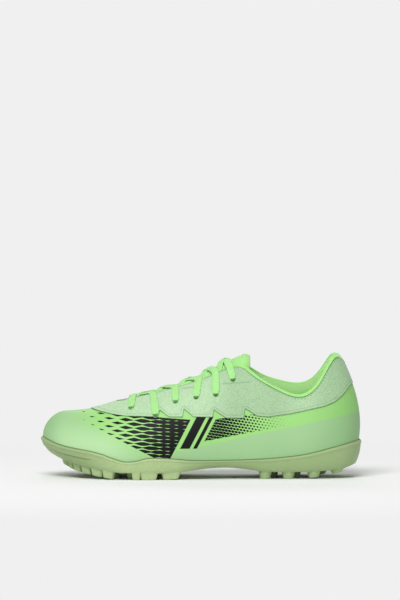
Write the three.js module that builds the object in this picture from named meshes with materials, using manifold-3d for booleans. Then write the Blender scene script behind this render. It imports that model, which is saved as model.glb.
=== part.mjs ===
// A football shoe for artificial turf, left foot, standing empty on its studs.
// Millimetres, +Z up. The toe points along -X, and +Y is the big-toe side.
// The origin is on the floor, under the middle of the heel.
import * as THREE from 'three';
import Module from 'manifold-3d';

const wasm = await Module();
wasm.setup();

// Driving sizes
const shoeLength = 284;
const ballWidth = 100;
const instepHeight = 108;
const collarHeight = 108;
const toeSpring = 29;
const studHeight = 6.2;
const soleThickness = 5;
const heelStand = 58.5;

// Walls, layers and clearances
const upperWall = 1.8;
const collarPadding = 3.6;
const collarRoll = 1.6;
const overlayThickness = 0.7;
const overlayMargin = 3.2;
const seatGap = 0.3;
const overlayGap = 0.4;
const rimWall = 1.7;
const toeStep = 0.8;
const insoleThickness = 4;
const tongueThickness = 2.6;
const tongueLap = 8;
const tongueEndWidth = 27;
const tongueGap = 1;
const throatWidth = 36;
const laceWidth = 6.4;
const laceThickness = 1.6;
const laceGap = 0.5;
const eyeletDiameter = 4.2;
const studDiameter = 11.5;
const treadStudDiameter = 9.5;
const studTaper = 0.78;
const studEmbed = 1.2;

// Mesh density: sections from toe to heel, steps up the wall, and the slivers that are taken out
const sectionStep = 0.45;
const wallSteps = 7;
const wallCrowding = 1.4;
const overlayFirstRow = 2;
const studSides = 6;
const meshTolerance = 0.02;

const halfWidth = ballWidth / 2;
const lastInstepRow = 9;

// Sections of the last, from the toe to the heel. Each runs from the foot of the wall, on the sole's
// bed, up to the crest of the instep or the rim of the collar.
// foot and top are shares of the length from the heel, lateral, medial, topLateral and topMedial are
// shares of half the ball width, and heightMedial is the height on the big-toe side.
// out, lift, reach, puff and drop set the swell of the wall: out and puff are shares of half the ball
// width, lift and drop shares of the wall's height, and reach a share of its span.
// Both heights are shares of the instep's as far as row 9, and of the collar's from there on.
const sections = [
  { foot: 0.984, lateral: 0.16, medial: 0.16, out: 0.25, lift: 0.4, top: 0.928, topLateral: 0.16,
    topMedial: 0.16, height: 0.538, heightMedial: 0.538, reach: 0.74, puff: 0, drop: 0 },
  { foot: 0.966, lateral: -0.12, medial: 0.42, out: 0.24, lift: 0.4, top: 0.915, topLateral: 0.15,
    topMedial: 0.15, height: 0.541, heightMedial: 0.541, reach: 0.72, puff: 0, drop: 0 },
  { foot: 0.925, lateral: -0.42, medial: 0.63, out: 0.22, lift: 0.38, top: 0.885, topLateral: 0.13,
    topMedial: 0.13, height: 0.545, heightMedial: 0.545, reach: 0.68, puff: 0, drop: 0 },
  { foot: 0.862, lateral: -0.65, medial: 0.78, out: 0.2, lift: 0.36, top: 0.828, topLateral: 0.11,
    topMedial: 0.11, height: 0.562, heightMedial: 0.562, reach: 0.65, puff: 0, drop: 0 },
  { foot: 0.785, lateral: -0.8, medial: 0.86, out: 0.2, lift: 0.34, top: 0.755, topLateral: 0.09,
    topMedial: 0.09, height: 0.628, heightMedial: 0.628, reach: 0.66, puff: 0, drop: 0 },
  { foot: 0.702, lateral: -0.87, medial: 0.84, out: 0.2, lift: 0.33, top: 0.68, topLateral: 0.07,
    topMedial: 0.07, height: 0.682, heightMedial: 0.682, reach: 0.69, puff: 0, drop: 0 },
  { foot: 0.618, lateral: -0.85, medial: 0.71, out: 0.2, lift: 0.33, top: 0.605, topLateral: 0.055,
    topMedial: 0.055, height: 0.738, heightMedial: 0.738, reach: 0.73, puff: 0, drop: 0 },
  { foot: 0.535, lateral: -0.78, medial: 0.56, out: 0.19, lift: 0.33, top: 0.53, topLateral: 0.045,
    topMedial: 0.045, height: 0.808, heightMedial: 0.808, reach: 0.79, puff: 0, drop: 0 },
  { foot: 0.46, lateral: -0.71, medial: 0.48, out: 0.18, lift: 0.33, top: 0.458, topLateral: 0.04,
    topMedial: 0.04, height: 0.905, heightMedial: 0.905, reach: 0.79, puff: 0, drop: 0 },
  { foot: 0.392, lateral: -0.67, medial: 0.47, out: 0.17, lift: 0.33, top: 0.395, topLateral: 0.04,
    topMedial: 0.04, height: 1.015, heightMedial: 1.015, reach: 0.74, puff: 0, drop: 0.01 },
  { foot: 0.325, lateral: -0.64, medial: 0.5, out: 0.19, lift: 0.34, top: 0.328, topLateral: -0.5,
    topMedial: 0.5, height: 0.83, heightMedial: 0.83, reach: 0.3, puff: 0.05, drop: 0.2 },
  { foot: 0.257, lateral: -0.62, medial: 0.53, out: 0.16, lift: 0.34, top: 0.258, topLateral: -0.56,
    topMedial: 0.56, height: 0.735, heightMedial: 0.775, reach: 0.26, puff: 0.03, drop: 0.26 },
  { foot: 0.188, lateral: -0.6, medial: 0.55, out: 0.18, lift: 0.34, top: 0.19, topLateral: -0.6,
    topMedial: 0.58, height: 0.655, heightMedial: 0.73, reach: 0.26, puff: 0.02, drop: 0.28 },
  { foot: 0.095, lateral: -0.59, medial: 0.56, out: 0.17, lift: 0.36, top: 0.133, topLateral: -0.54,
    topMedial: 0.52, height: 0.755, heightMedial: 0.8, reach: 0.36, puff: 0.02, drop: 0.26 },
  { foot: 0.03, lateral: -0.45, medial: 0.44, out: 0.16, lift: 0.36, top: 0.08, topLateral: -0.36,
    topMedial: 0.35, height: 1.06, heightMedial: 1.06, reach: 0.6, puff: 0, drop: 0.24 },
  { foot: 0.0165, lateral: 0.0, medial: 0.0, out: 0.34, lift: 0.42, top: 0.053, topLateral: 0.0,
    topMedial: 0.0, height: 0.96, heightMedial: 0.96, reach: 0.96, puff: 0, drop: 0.22 },
];

// The crest that tongue and laces follow where the upper has parted into its collar.
const crestEnd = [
  { section: 10, top: 0.33, height: 1.06 },
  { section: 11, top: 0.26, height: 1.03 },
  { section: 12, top: 0.19, height: 1.0 },
];
const crestShape = { reach: 0.88, puff: 0, drop: 0 };
const crestAcross = 0.04;

// The sole from the side. along is a share of the length from the heel. base is its underside between
// the studs, tread the studs' tips and rim the edge beside the upper, as shares of the toe spring:
// base and rim above the studs' height, tread above the floor. bed is a share of the sole's thickness.
const soleProfile = [
  { along: 0.0, base: 0.27, bed: 1.0, rim: 0.93, tread: 0.5 },
  { along: 0.03, base: 0.165, bed: 1.1, rim: 0.875, tread: 0.37 },
  { along: 0.065, base: 0.085, bed: 1.35, rim: 0.79, tread: 0.19 },
  { along: 0.1, base: 0.045, bed: 1.5, rim: 0.7, tread: 0.115 },
  { along: 0.145, base: 0.015, bed: 1.6, rim: 0.585, tread: 0.04 },
  { along: 0.19, base: 0.0, bed: 1.6, rim: 0.5, tread: 0.0 },
  { along: 0.25, base: 0.0, bed: 1.5, rim: 0.43, tread: 0.0 },
  { along: 0.31, base: 0.02, bed: 1.3, rim: 0.385, tread: 0.0 },
  { along: 0.36, base: 0.09, bed: 0.95, rim: 0.365, tread: 0.1 },
  { along: 0.42, base: 0.14, bed: 0.66, rim: 0.355, tread: 0.2 },
  { along: 0.48, base: 0.115, bed: 0.7, rim: 0.35, tread: 0.2 },
  { along: 0.53, base: 0.055, bed: 0.9, rim: 0.36, tread: 0.15 },
  { along: 0.575, base: 0.01, bed: 1.0, rim: 0.4, tread: 0.03 },
  { along: 0.625, base: 0.0, bed: 0.95, rim: 0.44, tread: 0.0 },
  { along: 0.665, base: 0.0, bed: 0.9, rim: 0.43, tread: 0.0 },
  { along: 0.7, base: 0.0, bed: 0.9, rim: 0.35, tread: 0.0 },
  { along: 0.735, base: 0.0, bed: 0.9, rim: 0.32, tread: 0.0 },
  { along: 0.77, base: 0.02, bed: 0.95, rim: 0.41, tread: 0.015 },
  { along: 0.81, base: 0.07, bed: 1.0, rim: 0.55, tread: 0.07 },
  { along: 0.85, base: 0.135, bed: 1.0, rim: 0.64, tread: 0.15 },
  { along: 0.89, base: 0.225, bed: 1.0, rim: 0.7, tread: 0.24 },
  { along: 0.93, base: 0.34, bed: 1.0, rim: 0.77, tread: 0.42 },
  { along: 0.965, base: 0.49, bed: 1.0, rim: 0.87, tread: 0.66 },
  { along: 1.0, base: 0.64, bed: 0.9, rim: 1.02, tread: 0.9 },
];
// How far the underside's edge lies inside the foot of the wall, from the toe to the heel, as shares
// of half the ball width.
const soleTuck = [0.17, 0.16, 0.11, 0.04, -0.02, -0.04, -0.02, 0.03, 0.06, 0.05, 0.02, 0.0, 0.0, 0.0,
  0.0, -0.01];
// Levels down the side of the sole, from the rim to the underside. in is a share of the toe step.
const soleSide = [
  { down: 0.05, in: 0 },
  { down: 0.29, in: 0 },
  { down: 0.33, in: 1 },
  { down: 0.62, in: 1 },
  { down: 1, in: 0 },
];
const toeStepStart = 0.8;
const toeStepEnd = 0.9;

// The throat opens at this section and is at its full width where the collar begins.
const throatStart = 3.9;
const throatRound = 0.45;
const throatFull = 9;
const throatEnd = 10.5;
const throatFront = 0.5;
const paddingStart = 9.4;
const paddingFull = 10.8;
const lastSection = sections.length - 1;

// Eyelets of one side, from the toe up: shares of the length and of the instep height.
const eyelets = [
  { along: 0.717, height: 0.575 },
  { along: 0.64, height: 0.525 },
  { along: 0.578, height: 0.632 },
  { along: 0.514, height: 0.668 },
  { along: 0.453, height: 0.692 },
  { along: 0.4, height: 0.81 },
];

// Lower edge of the overlay, from the front of the throat to the back of the heel, as it shows from
// the side: shares of the length and of the collar height.
const overlayEdge = [
  [0.88, 0.59], [0.82, 0.551], [0.776, 0.53], [0.735, 0.518], [0.64, 0.516],
  [0.627, 0.568], [0.6, 0.516], [0.556, 0.514], [0.552, 0.58], [0.523, 0.516],
  [0.462, 0.512], [0.459, 0.572], [0.422, 0.505], [0.366, 0.502], [0.361, 0.58],
  [0.325, 0.52], [0.29, 0.513], [0.22, 0.538], [0.16, 0.572], [0.112, 0.6],
  [0.08, 0.635], [0.055, 0.69], [0.03, 0.77], [-0.02, 0.84],
];

// Edge lugs of the forefoot and heel studs: along is a share of the length, long a share of it too.
const edgeLugs = [
  { along: 0.946, long: 0.026 },
  { along: 0.922, long: 0.022 },
  { along: 0.8965, long: 0.03 },
  { along: 0.864, long: 0.034 },
  { along: 0.827, long: 0.038 },
  { along: 0.79, long: 0.037 },
  { along: 0.701, long: 0.028 },
  { along: 0.6615, long: 0.055 },
  { along: 0.5915, long: 0.058 },
];
const edgeLugWidth = 9;
const edgeLugInset = 5.5;
const heelStuds = [0.298, 0.226, 0.146, 0.066];
const heelEdgeInset = 6;
const heelMiddle = [0.277, heelStand / shoeLength, 0.125, 0.036];
const treadRows = [0.605, 0.66, 0.715, 0.77, 0.825, 0.88];
const treadPitch = 18;
const treadEdge = 17;

const materials = {
  upper: new THREE.MeshStandardMaterial({ color: 0x9be67b, roughness: 0.55, metalness: 0 }),
  overlay: new THREE.MeshStandardMaterial({ color: 0xb5dcaa, roughness: 0.65, metalness: 0 }),
  tongue: new THREE.MeshStandardMaterial({ color: 0xa6f08a, roughness: 0.8, metalness: 0 }),
  insole: new THREE.MeshStandardMaterial({ color: 0x8ee06a, roughness: 0.85, metalness: 0 }),
  outsole: new THREE.MeshStandardMaterial({ color: 0xafc98a, roughness: 0.6, metalness: 0 }),
  lace: new THREE.MeshStandardMaterial({ color: 0xa4f285, roughness: 0.8, metalness: 0 }),
};

// A closed surface that is put together from numbered points.
class Skin {
  constructor() {
    this.points = [];
    this.faces = [];
  }

  add(point) {
    this.points.push(point.x, point.y, point.z);
    return this.points.length / 3 - 1;
  }

  triangle(a, b, c) {
    if (a !== b && b !== c && a !== c) this.faces.push(a, b, c);
  }

  quad(a, b, c, d) {
    this.triangle(a, b, c);
    this.triangle(a, c, d);
  }

  solid() {
    return new wasm.Manifold(new wasm.Mesh({
      numProp: 3,
      vertProperties: new Float32Array(this.points),
      triVerts: new Uint32Array(this.faces),
    }));
  }
}

const clamp = (value, low, high) => Math.min(high, Math.max(low, value));
const mix = (a, b, t) => a + (b - a) * t;
const smooth = (t) => {
  const c = clamp(t, 0, 1);
  return c * c * (3 - 2 * c);
};
const alongToX = (along) => heelStand - along * shoeLength;
const xToAlong = (x) => (heelStand - x) / shoeLength;

// A uniform cubic B-spline through a closed list of values.
function spline(values, at) {
  const count = values.length;
  const start = Math.floor(at);
  const t = at - start;
  const pick = (shift) => values[(((start + shift) % count) + count) % count];
  const w0 = (1 - t) ** 3;
  const w1 = 3 * t ** 3 - 6 * t ** 2 + 4;
  const w2 = -3 * t ** 3 + 3 * t ** 2 + 3 * t + 1;
  const w3 = t ** 3;
  return (pick(-1) * w0 + pick(0) * w1 + pick(1) * w2 + pick(2) * w3) / 6;
}

// Runs a column of the sections right round the shoe: down the lateral side and back up the medial.
function loop(lateral, medial = lateral) {
  const back = medial.slice(1, -1).reverse();
  return [...lateral, ...back];
}
const column = (name) => sections.map((row) => row[name]);
const isInstep = (index) => index <= lastInstepRow;
const heightsOf = (name) => sections.map((row, i) =>
  row[name] * (isInstep(i) ? instepHeight : collarHeight));
const endOf = (index) => crestEnd.find((row) => row.section === index);
const shapeOf = (name) => loop(sections.map((row, i) => (isInstep(i) ? row : crestShape)[name]));
const ring = {
  foot: loop(column('foot')),
  across: loop(column('lateral'), column('medial')),
  out: loop(column('out')),
  lift: loop(column('lift')),
  tuck: loop(soleTuck),
  rim: {
    top: loop(column('top')),
    across: loop(column('topLateral'), column('topMedial')),
    height: loop(heightsOf('height'), heightsOf('heightMedial')),
    reach: loop(column('reach')),
    puff: loop(column('puff')),
    drop: loop(column('drop')),
  },
  crest: {
    top: loop(sections.map((row, i) => (endOf(i) ?? row).top)),
    across: loop(sections.map((row, i) => (isInstep(i) ? row.topLateral : crestAcross))),
    height: loop(sections.map((row, i) => (endOf(i) ?? row).height * instepHeight)),
    reach: shapeOf('reach'),
    puff: shapeOf('puff'),
    drop: shapeOf('drop'),
  },
};
const turn = ring.foot.length;

// A column of the sole's side profile at a place along the shoe.
function soleAt(name, along) {
  const last = soleProfile.length - 2;
  const found = soleProfile.findIndex((row) => row.along > along) - 1;
  const i = clamp(found < -1 ? last : found, 0, last);
  const row = (k) => soleProfile[clamp(k, 0, last + 1)];
  const slope = (k) => {
    const a = row(k - 1);
    const b = row(k + 1);
    return (b[name] - a[name]) / (b.along - a.along);
  };
  const a = row(i);
  const b = row(i + 1);
  const span = b.along - a.along;
  const t = clamp((along - a.along) / span, 0, 1);
  const h00 = 2 * t ** 3 - 3 * t ** 2 + 1;
  const h10 = t ** 3 - 2 * t ** 2 + t;
  const h01 = -2 * t ** 3 + 3 * t ** 2;
  const h11 = t ** 3 - t ** 2;
  return h00 * a[name] + h10 * span * slope(i) + h01 * b[name] + h11 * span * slope(i + 1);
}
const baseHeight = (x) => studHeight + toeSpring * soleAt('base', xToAlong(x));
const bedHeight = (x) => baseHeight(x) + soleThickness * soleAt('bed', xToAlong(x));
const rimHeight = (x) => studHeight + toeSpring * soleAt('rim', xToAlong(x));
const treadHeight = (x) => toeSpring * Math.max(0, soleAt('tread', xToAlong(x)));

function footPoint(u) {
  const x = alongToX(spline(ring.foot, u));
  return new THREE.Vector3(x, halfWidth * spline(ring.across, u), bedHeight(x) + seatGap);
}

// The level direction that points out of the shoe at the foot of the wall.
function outward(u) {
  const step = 0.01;
  const run = footPoint(u + step).sub(footPoint(u - step));
  return new THREE.Vector3(run.y, -run.x, 0).normalize();
}

// A point of the last: u runs round the shoe, v up the wall. over is ring.rim or ring.crest.
function lastPoint(u, v, over = ring.rim) {
  const foot = footPoint(u);
  const out = outward(u);
  const top = new THREE.Vector3(
    alongToX(spline(over.top, u)),
    halfWidth * spline(over.across, u),
    spline(over.height, u),
  );
  const rise = top.z - foot.z;
  const low = foot.clone().addScaledVector(out, halfWidth * spline(ring.out, u));
  low.z += spline(ring.lift, u) * rise;
  const high = top.clone().lerp(foot, spline(over.reach, u));
  high.addScaledVector(out, halfWidth * spline(over.puff, u));
  high.z = top.z - spline(over.drop, u) * rise;
  return new THREE.CubicBezierCurve3(foot, low, high, top).getPoint(v);
}

// The last's surface moved out by offset along its normal.
function lastSurface(u, v, offset = 0, over = ring.rim) {
  const step = 0.01;
  const at = clamp(v, 0.02, 0.98);
  const along = lastPoint(u + step, at, over).sub(lastPoint(u - step, at, over));
  const up = lastPoint(u, at + step, over).sub(lastPoint(u, at - step, over));
  const normal = along.cross(up).normalize();
  const section = u <= turn / 2 ? u : turn - u;
  if (v > 0.999 && section <= throatStart) normal.setY(0).normalize();
  const point = lastPoint(u, v, over);
  const foot = point.z;
  point.addScaledVector(normal, offset);
  if (v < 0.001) point.z = foot;
  return point;
}

const sectionOf = (u) => (u <= turn / 2 ? u : turn - u);
const roundAt = (section, lateral) => (lateral ? section : turn - section);

// Half the throat's width at a section.
function throatHalf(section) {
  const open = clamp((section - throatStart) / throatRound, 0, 1);
  const front = Math.sqrt(1 - (1 - open) ** 2);
  const widen = mix(throatFront, 1, smooth((section - throatStart) / (throatFull - throatStart)));
  return (throatWidth / 2) * widen * front;
}

// Where the wall stops: at the crest over the toes, beside the throat, or at the collar's rim.
function edgeOf(u) {
  const section = sectionOf(u);
  if (section <= throatStart || section >= throatEnd) return 1;
  const half = throatHalf(section);
  const crest = lastPoint(u, 1, ring.crest);
  const away = (v) => lastPoint(u, v).distanceTo(crest);
  if (away(1) >= half) return 1;
  let low = 0.3;
  let high = 1;
  for (let i = 0; i < 40; i += 1) {
    const middle = (low + high) / 2;
    if (away(middle) > half) low = middle;
    else high = middle;
  }
  return (low + high) / 2;
}

// Where a given distance down from the edge is reached.
function below(u, distance) {
  const edge = edgeOf(u);
  const step = 0.01;
  const pace = lastPoint(u, edge).distanceTo(lastPoint(u, edge - step)) / step;
  return edge - distance / pace;
}

// How much of the collar's padding lies behind the wall here.
function padding(u, v) {
  const section = sectionOf(u);
  const round = smooth((section - paddingStart) / (paddingFull - paddingStart));
  return collarPadding * round * smooth((v - 0.45) / 0.4);
}
const wallAt = (u, v) => upperWall + padding(u, v);

// Sections that the meshes are built on, closer together where the throat opens.
function stations(from = 0, to = lastSection) {
  const front = [0, 0.05, 0.14, 0.28].map((step) => throatStart + step);
  const count = Math.round((to - from) / sectionStep);
  const even = Array.from({ length: count + 1 }, (_, i) => mix(from, to, i / count));
  const clear = even.filter((s) => front.every((f) => Math.abs(f - s) > sectionStep / 3));
  return [...clear, ...front].filter((s) => s >= from && s <= to).sort((a, b) => a - b);
}

// The stations right round the shoe, with the place of each one's partner on the other side.
function roundStations() {
  const half = stations();
  const lateral = half.map((s) => ({ u: s, section: s }));
  const medial = half.slice(1, -1).reverse().map((s) => ({ u: turn - s, section: s }));
  return [...lateral, ...medial];
}

// Heights of the wall's rows, closer together towards the edge.
function wallRows(u) {
  const edge = edgeOf(u);
  return Array.from({ length: wallSteps + 1 }, (_, j) =>
    edge * (1 - (1 - j / wallSteps) ** wallCrowding));
}

// A wall between two offsets of the last, closed over the toes and open at the throat and collar.
function wallShell({ outer, inner, rows: rowsAt, roll }) {
  const skin = new Skin();
  const round = roundStations();
  const closed = (k) => round[k].section <= throatStart + 1e-9;
  const partner = (k) => (k === 0 ? 0 : round.length - k);
  const shared = (k) => closed(k) && partner(k) < k;
  const heightsAt = round.map(({ u }) => rowsAt(u));
  const steps = heightsAt[0].length - 1;
  const face = (offset) => {
    const rows = [];
    round.forEach(({ u }, k) => {
      rows.push(heightsAt[k].map((v, j) => {
        const weld = j === steps && shared(k);
        return weld ? rows[partner(k)][j] : skin.add(lastSurface(u, v, offset(u, v)));
      }));
    });
    return rows;
  };
  const outside = face(outer);
  const inside = face(inner);
  const ridge = [];
  round.forEach(({ u }, k) => {
    if (shared(k)) {
      ridge.push(ridge[partner(k)]);
      return;
    }
    const to = heightsAt[k][steps];
    const middle = lastSurface(u, to, outer(u, to)).lerp(lastSurface(u, to, inner(u, to)), 0.5);
    middle.z += roll(u);
    ridge.push(closed(k) && k > 0 && closed(k + 1) ? -1 : skin.add(middle));
  });
  round.forEach((_, k) => {
    const next = (k + 1) % round.length;
    for (let j = 0; j < steps; j += 1) {
      skin.quad(outside[k][j], outside[next][j], outside[next][j + 1], outside[k][j + 1]);
      skin.quad(inside[k][j], inside[k][j + 1], inside[next][j + 1], inside[next][j]);
    }
    skin.quad(outside[k][0], inside[k][0], inside[next][0], outside[next][0]);
    if (closed(k) && closed(next)) return;
    const a = steps;
    skin.quad(outside[k][a], outside[next][a], ridge[next], ridge[k]);
    skin.quad(ridge[k], ridge[next], inside[next][a], inside[k][a]);
  });
  return skin.solid();
}

// Joins two edges of the same stations, lateral and medial, by a level or curved floor.
function floorBetween(skin, edge, height, facesUp) {
  const cells = 2;
  const half = (edge.length + 2) / 2;
  const rows = [];
  for (let i = 0; i < half; i += 1) {
    const left = edge[i];
    const right = edge[(edge.length - i) % edge.length];
    const row = [left];
    const a = new THREE.Vector3().fromArray(skin.points, left * 3);
    const b = new THREE.Vector3().fromArray(skin.points, right * 3);
    for (let c = 1; c < cells; c += 1) {
      const point = a.clone().lerp(b, c / cells);
      point.z = height(point.x);
      row.push(left === right ? left : skin.add(point));
    }
    rows.push([...row, right]);
  }
  for (let i = 0; i + 1 < half; i += 1) {
    for (let c = 0; c < cells; c += 1) {
      const corners = [rows[i][c], rows[i + 1][c], rows[i + 1][c + 1], rows[i][c + 1]];
      skin.quad(...(facesUp ? corners : corners.reverse()));
    }
  }
}

// Closes the band between rings of points that run round the shoe.
function bands(skin, rings) {
  for (let r = 0; r + 1 < rings.length; r += 1) {
    const low = rings[r];
    const high = rings[r + 1];
    low.forEach((_, k) => {
      const next = (k + 1) % low.length;
      skin.quad(low[k], low[next], high[next], high[k]);
    });
  }
}

function makeUpper() {
  const shell = wallShell({
    outer: () => 0,
    inner: (u, v) => -wallAt(u, v),
    rows: wallRows,
    roll: (u) => collarRoll * smooth(sectionOf(u) - throatFull + 0.5),
  });
  return shell.subtract(eyeletHoles());
}

// The thin layer round the throat and collar, cut to its outline from the side.
function makeOverlay() {
  const low = overlayGap;
  const high = overlayGap + overlayThickness;
  const margin = (u) => overlayMargin * smooth(sectionOf(u) - throatFull + 0.8);
  const shell = wallShell({
    outer: () => high,
    inner: () => low,
    rows: (u) => {
      const [first, ...rest] = wallRows(u).slice(overlayFirstRow);
      const share = (below(u, margin(u)) - first) / (edgeOf(u) - first);
      return [first, ...rest.map((v) => first + (v - first) * share)];
    },
    roll: () => 0,
  });
  const outline = new THREE.Shape(overlayEdge.map(([along, height]) =>
    new THREE.Vector2(alongToX(along), height * collarHeight)));
  outline.lineTo(alongToX(-0.1), collarHeight * 1.3);
  outline.lineTo(alongToX(0.9), collarHeight * 1.3);
  const prism = prismAcross(outline, ballWidth * 1.4);
  return shell.intersect(prism).subtract(eyeletHoles());
}

// A side outline as a solid that runs right across the shoe.
function prismAcross(outline, width) {
  const flat = outline.getPoints();
  const faces = THREE.ShapeUtils.triangulateShape(flat, []);
  const skin = new Skin();
  const near = flat.map((p) => skin.add(new THREE.Vector3(p.x, -width / 2, p.y)));
  const far = flat.map((p) => skin.add(new THREE.Vector3(p.x, width / 2, p.y)));
  faces.forEach(([a, b, c]) => {
    skin.triangle(near[a], near[b], near[c]);
    skin.triangle(far[a], far[c], far[b]);
  });
  flat.forEach((_, i) => {
    const next = (i + 1) % flat.length;
    skin.quad(near[i], far[i], far[next], near[next]);
  });
  const solid = skin.solid();
  return solid.volume() > 0 ? solid : solid.scale([1, -1, 1]);
}

// The section and wall height at which a side view's place is met.
function placeOnWall({ along, height }, lateral) {
  const upTo = (section) => {
    const u = roundAt(section, lateral);
    let low = 0.1;
    let high = edgeOf(u);
    for (let i = 0; i < 30; i += 1) {
      const middle = (low + high) / 2;
      if (lastPoint(u, middle).z < height * instepHeight) low = middle;
      else high = middle;
    }
    return { u, v: (low + high) / 2 };
  };
  let from = throatStart;
  let to = throatFull + 0.5;
  for (let i = 0; i < 30; i += 1) {
    const middle = (from + to) / 2;
    const { u, v } = upTo(middle);
    if (xToAlong(lastPoint(u, v).x) > along) from = middle;
    else to = middle;
  }
  return { section: (from + to) / 2, ...upTo((from + to) / 2) };
}

// A solid that runs through a list of rings of equal count.
function throughRings(rings) {
  const skin = new Skin();
  const rows = rings.map((points) => points.map((p) => skin.add(p)));
  for (let i = 0; i + 1 < rows.length; i += 1) {
    rows[i].forEach((_, k) => {
      const next = (k + 1) % rows[i].length;
      skin.quad(rows[i][k], rows[i][next], rows[i + 1][next], rows[i + 1][k]);
    });
  }
  const first = rows[0];
  const final = rows[rows.length - 1];
  for (let k = 1; k + 1 < first.length; k += 1) {
    skin.triangle(first[0], first[k + 1], first[k]);
    skin.triangle(final[0], final[k], final[k + 1]);
  }
  return skin.solid();
}

function eyeletHoles() {
  const pins = [];
  for (const lateral of [true, false]) {
    for (const eyelet of eyelets) {
      const { u, v } = placeOnWall(eyelet, lateral);
      const inner = lastSurface(u, v, -upperWall - 2);
      const outer = lastSurface(u, v, 4);
      const axis = outer.clone().sub(inner).normalize();
      const side = new THREE.Vector3(1, 0, 0).cross(axis).normalize();
      const up = axis.clone().cross(side);
      const circle = (centre) => Array.from({ length: studSides }, (_, k) => {
        const angle = (2 * Math.PI * k) / studSides;
        return centre.clone()
          .addScaledVector(side, (eyeletDiameter / 2) * Math.cos(angle))
          .addScaledVector(up, (eyeletDiameter / 2) * Math.sin(angle));
      });
      pins.push(throughRings([circle(inner), circle(outer)]));
    }
  }
  return wasm.Manifold.union(pins);
}

// Where the wall's outer side, moved out by offset, passes the sole's rim.
function rimCrossing(u, offset) {
  let low = 0;
  let high = 0.6;
  for (let i = 0; i < 30; i += 1) {
    const middle = (low + high) / 2;
    const point = lastSurface(u, middle, offset);
    if (point.z < rimHeight(point.x)) low = middle;
    else high = middle;
  }
  return (low + high) / 2;
}

function makeSole() {
  const skin = new Skin();
  const round = roundStations();
  const cup = 2;
  const rings = Array.from({ length: cup + 3 + soleSide.length }, () => []);
  round.forEach(({ u }) => {
    const crossing = rimCrossing(u, seatGap);
    const bed = lastSurface(u, 0, seatGap);
    bed.z = bedHeight(bed.x);
    const inner = [bed];
    for (let k = 1; k <= cup; k += 1) inner.push(lastSurface(u, (crossing * k) / cup, seatGap));
    const rim = lastSurface(u, crossing, seatGap + rimWall);
    rim.z = inner[cup].z - rimWall / 4;
    const foot = footPoint(u);
    const edge = foot.clone().addScaledVector(outward(u), -halfWidth * spline(ring.tuck, u));
    edge.z = baseHeight(edge.x);
    const bend = rim.clone().lerp(edge, 0.16);
    bend.z = mix(edge.z, rim.z, 0.16);
    const curve = new THREE.QuadraticBezierCurve3(rim, bend, edge);
    const stepped = smooth((xToAlong(rim.x) - toeStepStart) / (toeStepEnd - toeStepStart));
    const side = soleSide.map(({ down, in: inset }) => {
      const point = curve.getPoint(down);
      return point.addScaledVector(outward(u), -toeStep * stepped * inset);
    });
    const lip = inner[cup].clone().lerp(rim, 0.5);
    lip.z += rimWall / 8;
    [...side.reverse(), rim, lip, ...inner.reverse()].forEach((p, r) => rings[r].push(skin.add(p)));
  });
  bands(skin, rings);
  floorBetween(skin, rings[0], baseHeight, false);
  floorBetween(skin, rings[rings.length - 1], bedHeight, true);
  return wasm.Manifold.union([skin.solid(), ...makeStuds()]);
}

// A stud or lug: a tapered block with its tip on the tread and its root in the sole.
function stud(centre, long, wide, heading, power) {
  const ringAt = (share, height) => Array.from({ length: studSides }, (_, k) => {
    const angle = (2 * Math.PI * (k + 0.5)) / studSides;
    const c = Math.cos(angle);
    const s = Math.sin(angle);
    const a = (long / 2) * share * Math.sign(c) * Math.abs(c) ** power;
    const b = (wide / 2) * share * Math.sign(s) * Math.abs(s) ** power;
    const x = centre.x + a * heading.x - b * heading.y;
    const y = centre.y + a * heading.y + b * heading.x;
    return new THREE.Vector3(x, y, height(x));
  });
  const root = (x) => baseHeight(x) + studEmbed;
  return throughRings([ringAt(studTaper, treadHeight), ringAt(1, root)]);
}

// The wall's foot at a place along the shoe, on one side.
function footAt(along, lateral) {
  let low = 0;
  let high = lastSection;
  for (let i = 0; i < 30; i += 1) {
    const middle = (low + high) / 2;
    const here = footPoint(roundAt(middle, lateral));
    if (xToAlong(here.x) > along) low = middle;
    else high = middle;
  }
  return roundAt((low + high) / 2, lateral);
}

// The underside's edge at a place along the shoe, moved in by inset.
function underEdge(along, lateral, inset) {
  const u = footAt(along, lateral);
  const out = outward(u);
  const point = footPoint(u).addScaledVector(out, -halfWidth * spline(ring.tuck, u) - inset);
  return { point, heading: new THREE.Vector3(-out.y, out.x, 0) };
}

function makeStuds() {
  const studs = [];
  const ahead = new THREE.Vector3(1, 0, 0);
  for (const lateral of [true, false]) {
    for (const { along, long } of edgeLugs) {
      const { point, heading } = underEdge(along, lateral, edgeLugInset);
      studs.push(stud(point, long * shoeLength, edgeLugWidth, heading, 0.45));
    }
    for (const along of heelStuds) {
      const { point } = underEdge(along, lateral, heelEdgeInset);
      studs.push(stud(point, studDiameter, studDiameter, ahead, 1));
    }
  }
  for (const along of heelMiddle) {
    const centre = new THREE.Vector3(alongToX(along), 0, 0);
    studs.push(stud(centre, studDiameter, studDiameter, ahead, 1));
  }
  treadRows.forEach((along, row) => {
    const from = underEdge(along, true, treadEdge).point;
    const to = underEdge(along, false, treadEdge).point;
    const gaps = Math.max(1, Math.round((to.y - from.y) / treadPitch));
    const shift = row % 2 ? 0.5 : 0;
    for (let k = 0; k + shift <= gaps; k += 1) {
      const centre = from.clone().lerp(to, (k + shift) / gaps);
      centre.x = alongToX(along);
      studs.push(stud(centre, treadStudDiameter, treadStudDiameter, ahead, 1));
    }
  });
  return studs;
}

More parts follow.
